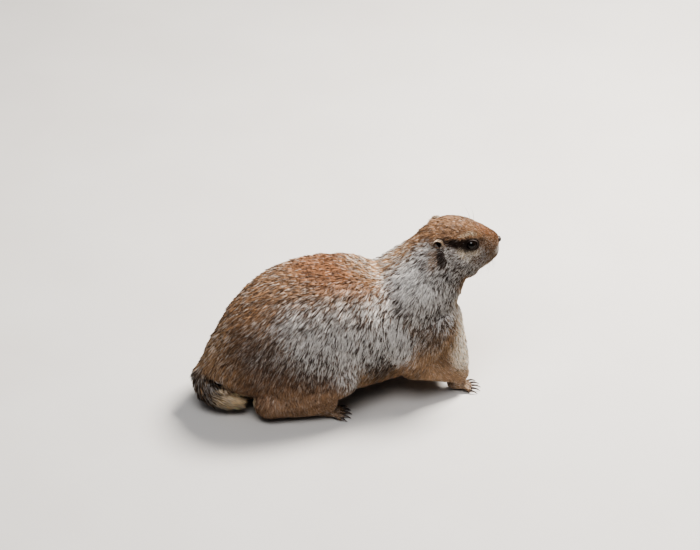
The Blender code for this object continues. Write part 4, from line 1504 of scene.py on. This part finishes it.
@dataclass
class Nose:
    """The leathery pad of the nose, with its nostrils and the groove below them."""

    places: Places
    radii: Point = (2.7, 3.4, 2.6)  # mm
    nostril: Point = (0.8, 0.72, -0.12)  # the way that the left nostril faces
    nostril_angle: float = 23  # degrees from its middle to its rim
    nostril_inset: float = 0.12  # share of the pad's size
    nostril_depth: float = 0.4
    groove: float = mm(0.4)
    groove_breadth: float = 0.13
    top_broader: float = 0.16

    def pad(self) -> Thing:
        """Models the pad.

        Returns:
            The nose in its place.
        """
        bpy.ops.mesh.primitive_uv_sphere_add(segments=36, ring_count=24, radius=1)
        nose = named(bpy.context.object, "nose_pad")
        select_only(nose)
        for side in SIDES:
            self.open_nostril(nose, side)
        modified(nose, "SUBSURF", levels=1, render_levels=1)
        corners = vertex_array(nose.data)
        middle = np.exp(-((corners[:, 1] / self.groove_breadth) ** 2))
        middle *= smooth_step(0.4, -0.7, corners[:, 2])
        corners[:, 1] *= 1 + self.top_broader * corners[:, 2]
        corners = corners * mm(*self.radii)
        corners[:, 0] -= self.groove * middle * smooth_step(0, mm(1), corners[:, 0])
        put_vertices(nose.data, corners)
        place = self.places.head_frame() @ Matrix.Translation(mm(*self.places.nose_place))
        return moved(smoothed(nose), place)

    def open_nostril(self, nose: Thing, side: int) -> None:
        """Insets the faces round a nostril and pushes them in."""
        way = Vector((self.nostril[0], self.nostril[1] * side, self.nostril[2])).normalized()
        bpy.ops.object.mode_set(mode="EDIT")
        bpy.ops.mesh.select_all(action="DESELECT")
        bpy.ops.object.mode_set(mode="OBJECT")
        limit = math.cos(math.radians(self.nostril_angle))
        for face in nose.data.polygons:
            face.select = face.center.normalized().dot(way) > limit
        bpy.ops.object.mode_set(mode="EDIT")
        bpy.ops.mesh.inset(thickness=self.nostril_inset, depth=0.03)
        for share in (0.75, 0.6):
            bpy.ops.mesh.extrude_region_move(
                TRANSFORM_OT_translate={"value": tuple(-way * self.nostril_depth / 2)})
            bpy.ops.transform.resize(value=(share, share, share))
        bpy.ops.object.mode_set(mode="OBJECT")


@dataclass
class Mouth:
    """The line between the lips and the cleft above it."""

    places: Places
    height: float = -20.4
    corner_drop: float = 1.6
    middle: float = 10.0
    swing: float = 68  # degrees round the muzzle, to each side
    steps: int = 56
    line: float = mm(0.34)  # half the breadth of the skin that shows between the lips
    line_sunk: float = mm(0.28)
    line_ends: float = 0.35  # how bluntly it tapers
    depth: float = mm(0.9)
    far: float = mm(40)  # where the rays that find the skin start
    reach: float = mm(1.3)
    shares: tuple[float, float] = (1, 0.5)  # of line and depth, for the lips and the cleft

    def surface(self, skin: Thing) -> BVHTree:
        """The skin's faces, to be found by rays."""
        return BVHTree.FromPolygons(
            [vert.co for vert in skin.data.vertices], [tuple(face.vertices) for face in skin.data.polygons])

    def found(self, tree: BVHTree, start: Array, way: Array) -> Array:
        """Where a ray from outside meets the skin."""
        far = Vector(start + way * self.far)
        hit = tree.ray_cast(far, Vector(-way))[0]
        return np.array(hit)

    def path(self, skin: Thing) -> Array:
        """Reads the lips' line off the skin, from one corner of the mouth to the other."""
        tree, points = self.surface(skin), []
        for share in np.linspace(-1, 1, self.steps):
            swing = math.radians(self.swing * share)
            start = self.places.head((self.middle, 0, self.height - self.corner_drop * share * share))
            way = self.places.head_way((math.cos(swing), math.sin(swing), 0))
            points.append(self.found(tree, start, way))
        return np.array(points)

    def cleft(self, skin: Thing) -> Array:
        """Reads the cleft's line off the skin, from the nose down to the lips."""
        tree = self.surface(skin)
        way = self.places.head_way((1, 0, 0))
        heights = np.linspace(self.places.nose_place[2] - 2.4, self.height + 0.3, 12)
        return np.array([self.found(tree, self.places.head((8, 0, z)), way) for z in heights])

    def press(self, skin: Thing, paths: Sequence[Array]) -> None:
        """Presses grooves into the skin along the paths."""
        corners, normals = vertex_array(skin.data), vertex_array(skin.data, "normal")
        for path, share in zip(paths, self.shares):
            sunk = self.depth * share * (1 - smooth_step(0, self.reach, nearest(corners, path)))
            corners = corners - normals * sunk[:, None]
        put_vertices(skin.data, corners)

    def lips(self, paths: Sequence[Array], inwards: Array) -> Thing:
        """Lays the dark skin between the lips in its grooves."""
        routes, radii = [], []
        for path, share in zip(paths, self.shares):
            towards = unit(inwards - path)
            routes.append(path + towards * self.line_sunk)
            taper = np.sin(np.linspace(0.06, math.pi - 0.06, len(path))) ** self.line_ends
            radii.append(self.line * share * taper)
        return smoothed(swept("lips", routes, radii, 3))


@dataclass
class Whiskers:
    """Whiskers beside the nose, over the eyes and on the cheeks, as tapering swept hairs."""

    places: Places
    thickness: float = mm(0.11)
    rows: tuple[tuple[float, int, float], ...] = (  # height, how many, length, all in mm
        (-8.5, 4, 20), (-11.5, 5, 27), (-14.5, 5, 30), (-17.3, 4, 24))
    others: tuple[tuple[Point, Point, float], ...] = (  # over the eye and on the cheek
        ((5, 14, 8), (0.1, 0.6, 1), 15),
        ((2, 15, 8), (-0.2, 0.7, 1), 17),
        ((-14, 27, -18), (-0.5, 1, -0.4), 13),
        ((-12, 27, -21), (-0.5, 1, -0.6), 15),
    )
    seed: int = 41
    droop: float = 0.26  # of its length, that a whisker bends back
    tip: float = 0.15  # thickness at the tip, as a share of the root's

    def build(self, tree: BVHTree) -> Thing:
        """Grows every whisker from the skin.

        Args:
            tree: the skin's faces.

        Returns:
            All whiskers as one mesh.
        """
        rng = np.random.default_rng(self.seed)
        along = np.linspace(0, 1, 9)[:, None]
        routes = []
        for side in SIDES:
            back = self.places.head_way((-1, 0.1, -0.45), side)
            for start, way, length in (*self.beside_nose(), *self.others):
                root = np.array(tree.find_nearest(Vector(self.places.head(start, side)))[0])
                ahead = unit(self.places.head_way(way, side) + rng.normal(scale=0.07, size=3))
                size = mm(length) * rng.uniform(0.88, 1.08)
                bend = self.droop * size * along**2 * back
                routes.append(root + ahead * size * (along - 0.03) + bend)
        radius = self.thickness * (1 - (1 - self.tip) * along[:, 0])
        return swept("whiskers", routes, [radius] * len(routes), 1)

    def beside_nose(self) -> Iterator[tuple[Point, Point, float]]:
        """The start, the way and the length of each whisker in the rows beside the nose."""
        for height, count, length in self.rows:
            for share in np.arange(count) / (count - 1):
                start = (19.5 - 7.5 * share, 14, height - 1.5 * share)
                way = (0.35 - 0.95 * share, 1, -0.12 - 0.03 * (height + 12))
                yield start, way, length * (0.7 + 0.3 * share)


@dataclass
class Claws:
    """Curved tapering claws, one at the tip of each toe."""

    places: Places
    rings: int = 11
    root: float = 0.5  # radius at the root, as a share of the toe's
    sunk: float = 2.2  # mm of it inside the toe
    arch: float = 1.2  # mm that its back stands over a straight line
    narrow: float = 0.72  # its width beside its height
    rise: float = 1.05  # height of its root, as a share of the toe's radius
    tip_height: float = 0.6  # mm
    tip_radius: float = 0.16  # mm
    shortest: float = 0.55  # share of its length that doesn't follow the toe's

    def one(self, paw: Paw, length: float) -> Thing:
        """Models one claw along X from the toe's tip, its root at the origin.

        Args:
            paw: the kind of paw that it belongs to.
            length: in mm.

        Returns:
            The claw, still at the origin.
        """
        along = np.linspace(0, 1, self.rings)
        x = -self.sunk + (length + self.sunk) * along
        height = paw.toe_radius * self.rise
        z = height + self.arch * np.sin(math.pi * along**0.8) - (height - self.tip_height) * along**2
        radius = paw.toe_radius * self.root * (1 - along**1.6) + self.tip_radius
        claw = swept("claw", [np.c_[x, 0 * x, z] * 0.001], [radius * 0.001], 3)
        corners = vertex_array(claw.data)
        corners[:, 1] *= self.narrow
        put_vertices(claw.data, corners)
        return claw

    def build(self, paw: Paw) -> Thing:
        """Copies the claw to every toe of both paws of a kind.

        Args:
            paw: the kind of paw.

        Returns:
            All of its claws as one mesh.
        """
        claws = []
        for side in SIDES:
            frame = self.places.body_frame(side)
            for root, ahead, length in paw.toe_lines():
                share = length / paw.toe_length
                claw = self.one(paw, paw.claw_length * (self.shortest + (1 - self.shortest) * share))
                turn = Matrix.Rotation(math.atan2(ahead[1], ahead[0]), 4, "Z")
                tip = root + ahead * (length + paw.toe_radius * 0.5)
                place = Matrix.Translation(mm(*tip, 0)) @ turn
                claws.append(moved(claw, frame @ place))
        return smoothed(joined(paw.name, claws))


class Shader:
    """A small helper that lays out the nodes of one material."""

    def __init__(self, name: str) -> None:
        """Starts a material of that name with its one surface node."""
        self.material = bpy.data.materials.new(name)
        self.material.use_nodes = True
        self.nodes = self.material.node_tree.nodes
        self.links = self.material.node_tree.links
        self.surface = self.nodes["Principled BSDF"]

    def node(self, kind: str, **values: object) -> bpy.types.Node:
        """Adds a node.

        Args:
            kind: its type, without the words that all shader nodes share.
            values: its settings, or the values of its inputs, by name.

        Returns:
            The new node.
        """
        made = self.nodes.new("ShaderNode" + kind)
        for name, value in values.items():
            if hasattr(made, name):
                setattr(made, name, value)
            else:
                made.inputs[name.replace("_", " ")].default_value = value
        return made

    def join(self, source: Socket, target: Socket) -> None:
        """Links one socket to another."""
        self.links.new(source, target)

    def drive(self, name: str, source: Socket) -> None:
        """Links a socket to one input of the surface."""
        self.join(source, self.surface.inputs[name])

    def fix(self, **values: float) -> None:
        """Sets inputs of the surface by name, with _ for a space."""
        for name, value in values.items():
            self.surface.inputs[name.replace("_", " ")].default_value = value

    def object_place(self) -> Socket:
        """Where each point of the surface is in the object's own space."""
        return self.node("TexCoord").outputs["Object"]

    def noise(self, scale: float, detail: float = 3.0, stretch: Point = (1, 1, 1)) -> Socket:
        """A noise pattern in the object's own space, as a value from 0 to 1."""
        turn = self.node("Mapping", Scale=stretch)
        pattern = self.node("TexNoise", Scale=scale, Detail=detail)
        self.join(self.object_place(), turn.inputs["Vector"])
        self.join(turn.outputs["Vector"], pattern.inputs["Vector"])
        return pattern.outputs["Fac"]

    def ranged(self, value: Socket, low: float, high: float) -> Socket:
        """A value from 0 to 1 spread between low and high."""
        spread = self.node("MapRange", To_Min=low, To_Max=high)
        self.join(value, spread.inputs["Value"])
        return spread.outputs["Result"]

    def mixed(self, low: Sequence[float], high: Sequence[float], share: Socket) -> None:
        """Colours the surface with two colours, mixed by a share."""
        mix = self.node("Mix", data_type="RGBA")
        mix.inputs[6].default_value = (*low, 1)
        mix.inputs[7].default_value = (*high, 1)
        self.join(share, mix.inputs[0])
        self.drive("Base Color", mix.outputs[2])

    def marked(self, fine: Socket, low: float, high: float) -> None:
        """Colours the surface as its mesh says, made darker and brighter by a fine pattern."""
        colour = self.node("Attribute", attribute_name=COAT_COLOUR)
        mix = self.node("Mix", data_type="RGBA", blend_type="MULTIPLY")
        mix.inputs[0].default_value = 1
        grey = self.node("CombineColor")
        amount = self.ranged(fine, low, high)
        for channel in grey.inputs:
            self.join(amount, channel)
        self.join(colour.outputs["Color"], mix.inputs[6])
        self.join(grey.outputs[0], mix.inputs[7])
        self.drive("Base Color", mix.outputs[2])

    def bumped(self, height: Socket, distance: float, strength: float) -> None:
        """Raises the surface by a height pattern."""
        bump = self.node("Bump", Distance=distance, Strength=strength)
        self.join(height, bump.inputs["Height"])
        self.drive("Normal", bump.outputs["Normal"])


@dataclass(frozen=True)
class HairFinish:
    """Hair, coloured by the markings and painted shade that its own mesh carries."""

    name: str
    roughness: tuple[float, float] = (0.48, 0.72)
    sheen: float = 0.06
    grain: float = 2400  # fine streaks to a metre
    bump: float = 0.25

    def make(self) -> bpy.types.Material:
        """Lays out the material."""
        shader = Shader(self.name)
        shader.fix(Sheen_Weight=self.sheen, Sheen_Roughness=0.4, Specular_IOR_Level=0.4)
        fine = shader.noise(self.grain)
        shader.marked(fine, 0.82, 1.18)
        shader.drive("Roughness", shader.ranged(fine, *self.roughness))
        shader.bumped(fine, mm(0.2), self.bump)
        return shader.material


@dataclass(frozen=True)
class BareFinish:
    """Bare skin, horn or leather: two shades mixed by a pattern, with pores and wrinkles."""

    name: str
    dark: Shade
    pale: Shade
    roughness: tuple[float, float] = (0.45, 0.65)
    blotches: float = 260  # to a metre
    pores: float = 2600  # to a metre
    bump: float = 0.5
    stretch: Point = (1, 1, 1)
    gloss: float = 0.0

    def make(self) -> bpy.types.Material:
        """Lays out the material."""
        shader = Shader(self.name)
        shader.fix(Coat_Weight=self.gloss, Coat_Roughness=0.12)
        blotch = shader.noise(self.blotches, 5, self.stretch)
        shader.mixed(self.dark.light(), self.pale.light(), shader.ranged(blotch, -0.4, 1.4))
        cells = shader.node("TexVoronoi", Scale=self.pores)
        shader.join(shader.object_place(), cells.inputs["Vector"])
        shader.drive("Roughness", shader.ranged(blotch, *self.roughness))
        shader.bumped(cells.outputs["Distance"], mm(0.15), self.bump)
        return shader.material


@dataclass(frozen=True)
class EyeFinish:
    """A wet dark eye: the colours of its iris and pupil under a clear, glossy front."""

    name: str = "eye_dark"
    roughness: tuple[float, float] = (0.03, 0.09)
    veins: float = 900  # to a metre

    def make(self) -> bpy.types.Material:
        """Lays out the material."""
        shader = Shader(self.name)
        shader.fix(Coat_Weight=1, Coat_Roughness=0.02, Coat_IOR=1.34, IOR=1.376, Specular_IOR_Level=0.25)
        fine = shader.noise(self.veins, 4)
        shader.marked(fine, 0.6, 1.5)
        shader.drive("Roughness", shader.ranged(fine, *self.roughness))
        return shader.material


@dataclass(frozen=True)
class Lamp:
    """One square soft light, and where it hangs round the animal."""

    name: str
    azimuth: float  # degrees
    elevation: float
    distance: float
    size: float
    power: float
    colour: Point


@dataclass
class Studio:
    """The pale floor, the soft lights and the camera."""

    azimuth: float = -13  # degrees; 0 looks along +Y
    elevation: float = 32
    distance: float = 3.2
    aim: Point = (4.35, 0, 112.7)  # mm
    picture_scale: float = mm(0.86)  # size of a pixel at the aim
    sensor: float = 36  # mm
    floor_size: float = 8.0
    lamps: tuple[Lamp, ...] = (
        Lamp("key", 118, 54, 1.4, 0.42, 42, (1, 0.965, 0.92)),
        Lamp("fill", -24, 62, 1.8, 1.1, 21, (0.95, 0.97, 1)),
    )
    lamp_aim: Point = (0, 0, 60)  # mm
    world_colour: Point = (0.9, 0.93, 1)
    world_strength: float = 0.15

    def way(self, azimuth: float, elevation: float) -> Vector:
        """The direction from the aim to a place round it."""
        a, e = math.radians(azimuth), math.radians(elevation)
        return Vector((math.sin(a) * math.cos(e), -math.cos(a) * math.cos(e), math.sin(e)))

    def hung(self, data: bpy.types.ID, aim: Point, back: Vector, distance: float) -> Thing:
        """Puts a light or the camera at a distance from a place, facing it."""
        made = linked(data.name, data)
        made.location = Vector(mm(*aim)) + back * distance
        made.rotation_euler = back.to_track_quat("Z", "Y").to_euler()
        return made

    def camera(self) -> None:
        """Sets up the camera at the photograph's angle and framing."""
        data = bpy.data.cameras.new("camera")
        data.sensor_width = self.sensor
        data.lens = self.distance / self.picture_scale * self.sensor / PICTURE_SIZE[0]
        data.clip_end = 50
        back = self.way(self.azimuth, self.elevation)
        bpy.context.scene.camera = self.hung(data, self.aim, back, self.distance)

    def light(self, lamp: Lamp) -> None:
        """Hangs one lamp."""
        data = bpy.data.lights.new(lamp.name, "AREA")
        data.size = lamp.size
        data.energy = lamp.power
        data.color = lamp.colour
        self.hung(data, self.lamp_aim, self.way(lamp.azimuth, lamp.elevation), lamp.distance)

    def floor(self) -> None:
        """Lays the floor."""
        bpy.ops.mesh.primitive_plane_add(size=self.floor_size, location=(0, 0, 0))
        made = named(bpy.context.object, "floor")
        shader = Shader("floor_plaster")
        patches = shader.noise(9, 6)
        shader.mixed((0.56, 0.53, 0.50), (0.62, 0.60, 0.57), patches)
        shader.drive("Roughness", shader.ranged(patches, 0.7, 0.9))
        shader.bumped(shader.noise(700, 4), mm(0.2), 0.15)
        made.data.materials.append(shader.material)

    def build(self) -> None:
        """Sets up the whole studio."""
        self.floor()
        self.camera()
        for lamp in self.lamps:
            self.light(lamp)
        world = bpy.data.worlds.new("studio")
        world.use_nodes = True
        sky = world.node_tree.nodes["Background"].inputs
        sky["Color"].default_value = (*self.world_colour, 1)
        sky["Strength"].default_value = self.world_strength
        bpy.context.scene.world = world
        view = bpy.context.scene.view_settings
        view.view_transform, view.look, view.exposure = "AgX", "AgX - High Contrast", -0.1


class PrairieDog:
    """The whole animal: builds its parts in order and hands each to the frame."""

    COAT_SEED = 100
    EAR_SEED = 60

    def __init__(self, frame: dict) -> None:
        """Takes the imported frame."""
        self.nodes = frame["nodes"]
        self.places = Places()
        self.groom = Groom(self.places)
        self.markings = MarkingsAndShade(self.places)

    def keep(
        self, piece: Thing, finish: bpy.types.Material, slot: str, replaced: Iterable[str] = ()
    ) -> None:
        """Dresses a piece and ties it to the frame.

        Args:
            piece: the finished object.
            finish: its material.
            slot: the record's slot for its finish; not used.
            replaced: the solids that it stands for.
        """
        piece.data.materials.clear()
        piece.data.materials.append(finish)
        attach(piece, ROOT_BODY)
        if replaced:
            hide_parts(*replaced)
        LOG.info("%s: %d faces", piece.name, len(piece.data.polygons))

    def build(self) -> None:
        """Builds skin, coat and face."""
        skin_maker = Skin(self.places, self.groom, self.markings)
        skin = skin_maker.build(self.nodes)
        skin_maker.paint(skin)
        hide = HairFinish("underfur", roughness=(0.8, 0.95), sheen=0.0, bump=0.8).make()
        flesh = [name for name in FLESH if name not in ("nose", *EYES)]
        self.keep(skin, hide, "back_coat", [*flesh, *PAWS])
        hair = HairFinish("guard_hair").make()
        coat = Coat(self.places, self.groom, self.markings, self.build_face(skin))
        self.build_ears(coat, hair)
        surface = Surface.of(skin)
        regions = Regions(self.nodes)
        owner = regions.of(surface.centres())
        for number, region in enumerate(regions.table):
            piece = coat.grow(region.name, surface.part(owner == number), self.COAT_SEED + number)
            self.keep(piece, hair, region.slot)
        horn = BareFinish(
            "claw_horn", Shade.BLACKISH, Shade.SMOKE, (0.35, 0.55), 300, 900, 0.35, (0.3, 1, 1), 0.15).make()
        for paw in (HIND_PAW, FORE_PAW):
            self.keep(Claws(self.places).build(paw), horn, "limb_coat")

    def build_face(self, skin: Thing) -> Array:
        """Builds eyes, lids, nose, lips and whiskers.

        Args:
            skin: the skin, which the mouth is pressed into.

        Returns:
            The line between the lips and the cleft above it, where the hair parts.
        """
        eyes, wet = Eyes(self.places), EyeFinish().make()
        lid_skin = BareFinish("lid_skin", Shade.BLACKISH, Shade.UMBER, (0.55, 0.75), 500, 3000, 0.5).make()
        for side in SIDES:
            self.keep(eyes.ball(side), wet, "eye_surface", [side_name("eye", side)])
            self.keep(eyes.lids(side), lid_skin, "head_coat")
        leather = BareFinish(
            "nose_leather", Shade.BLACKISH, Shade.LEATHER, (0.3, 0.5), 500, 2600, 0.7, gloss=0.2).make()
        self.keep(Nose(self.places).pad(), leather, "nose_skin", ["nose"])
        mouth = Mouth(self.places)
        paths = (mouth.path(skin), mouth.cleft(skin))
        mouth.press(skin, paths)
        lips = mouth.lips(paths, self.places.head((mouth.middle - 4, 0, mouth.height)))
        self.keep(lips, lid_skin, "head_coat")
        bristle = BareFinish("whisker_horn", Shade.BLACKISH, Shade.HORN, (0.35, 0.5), 60, 4000, 0.2).make()
        self.keep(Whiskers(self.places).build(mouth.surface(skin)), bristle, "head_coat")
        return np.concatenate(paths)

    def build_ears(self, coat: Coat, hair: bpy.types.Material) -> None:
        """Builds both ears, with their own short hair.

        Args:
            coat: what grows the hair.
            hair: the hair's material.
        """
        ears = Ears(self.places)
        cup_skin = HairFinish("ear_skin", roughness=(0.5, 0.75), sheen=0.05, bump=0.6).make()
        for side in SIDES:
            cup = ears.cup(side)
            haired = ears.outside(Surface.of(cup), side)
            seed = self.EAR_SEED + side
            grown = coat.grow(side_name("coat_ear", side), haired, seed, ears.comb(side))
            self.keep(cup, cup_skin, "ear_skin", [side_name("ear", side)])
            self.keep(grown, hair, "ear_skin")


def main() -> None:
    """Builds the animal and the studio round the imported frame."""
    logging.basicConfig(level=logging.INFO, format="%(message)s")
    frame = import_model()
    PrairieDog(frame).build()
    Studio().build()


if __name__ == "__main__":
    main()
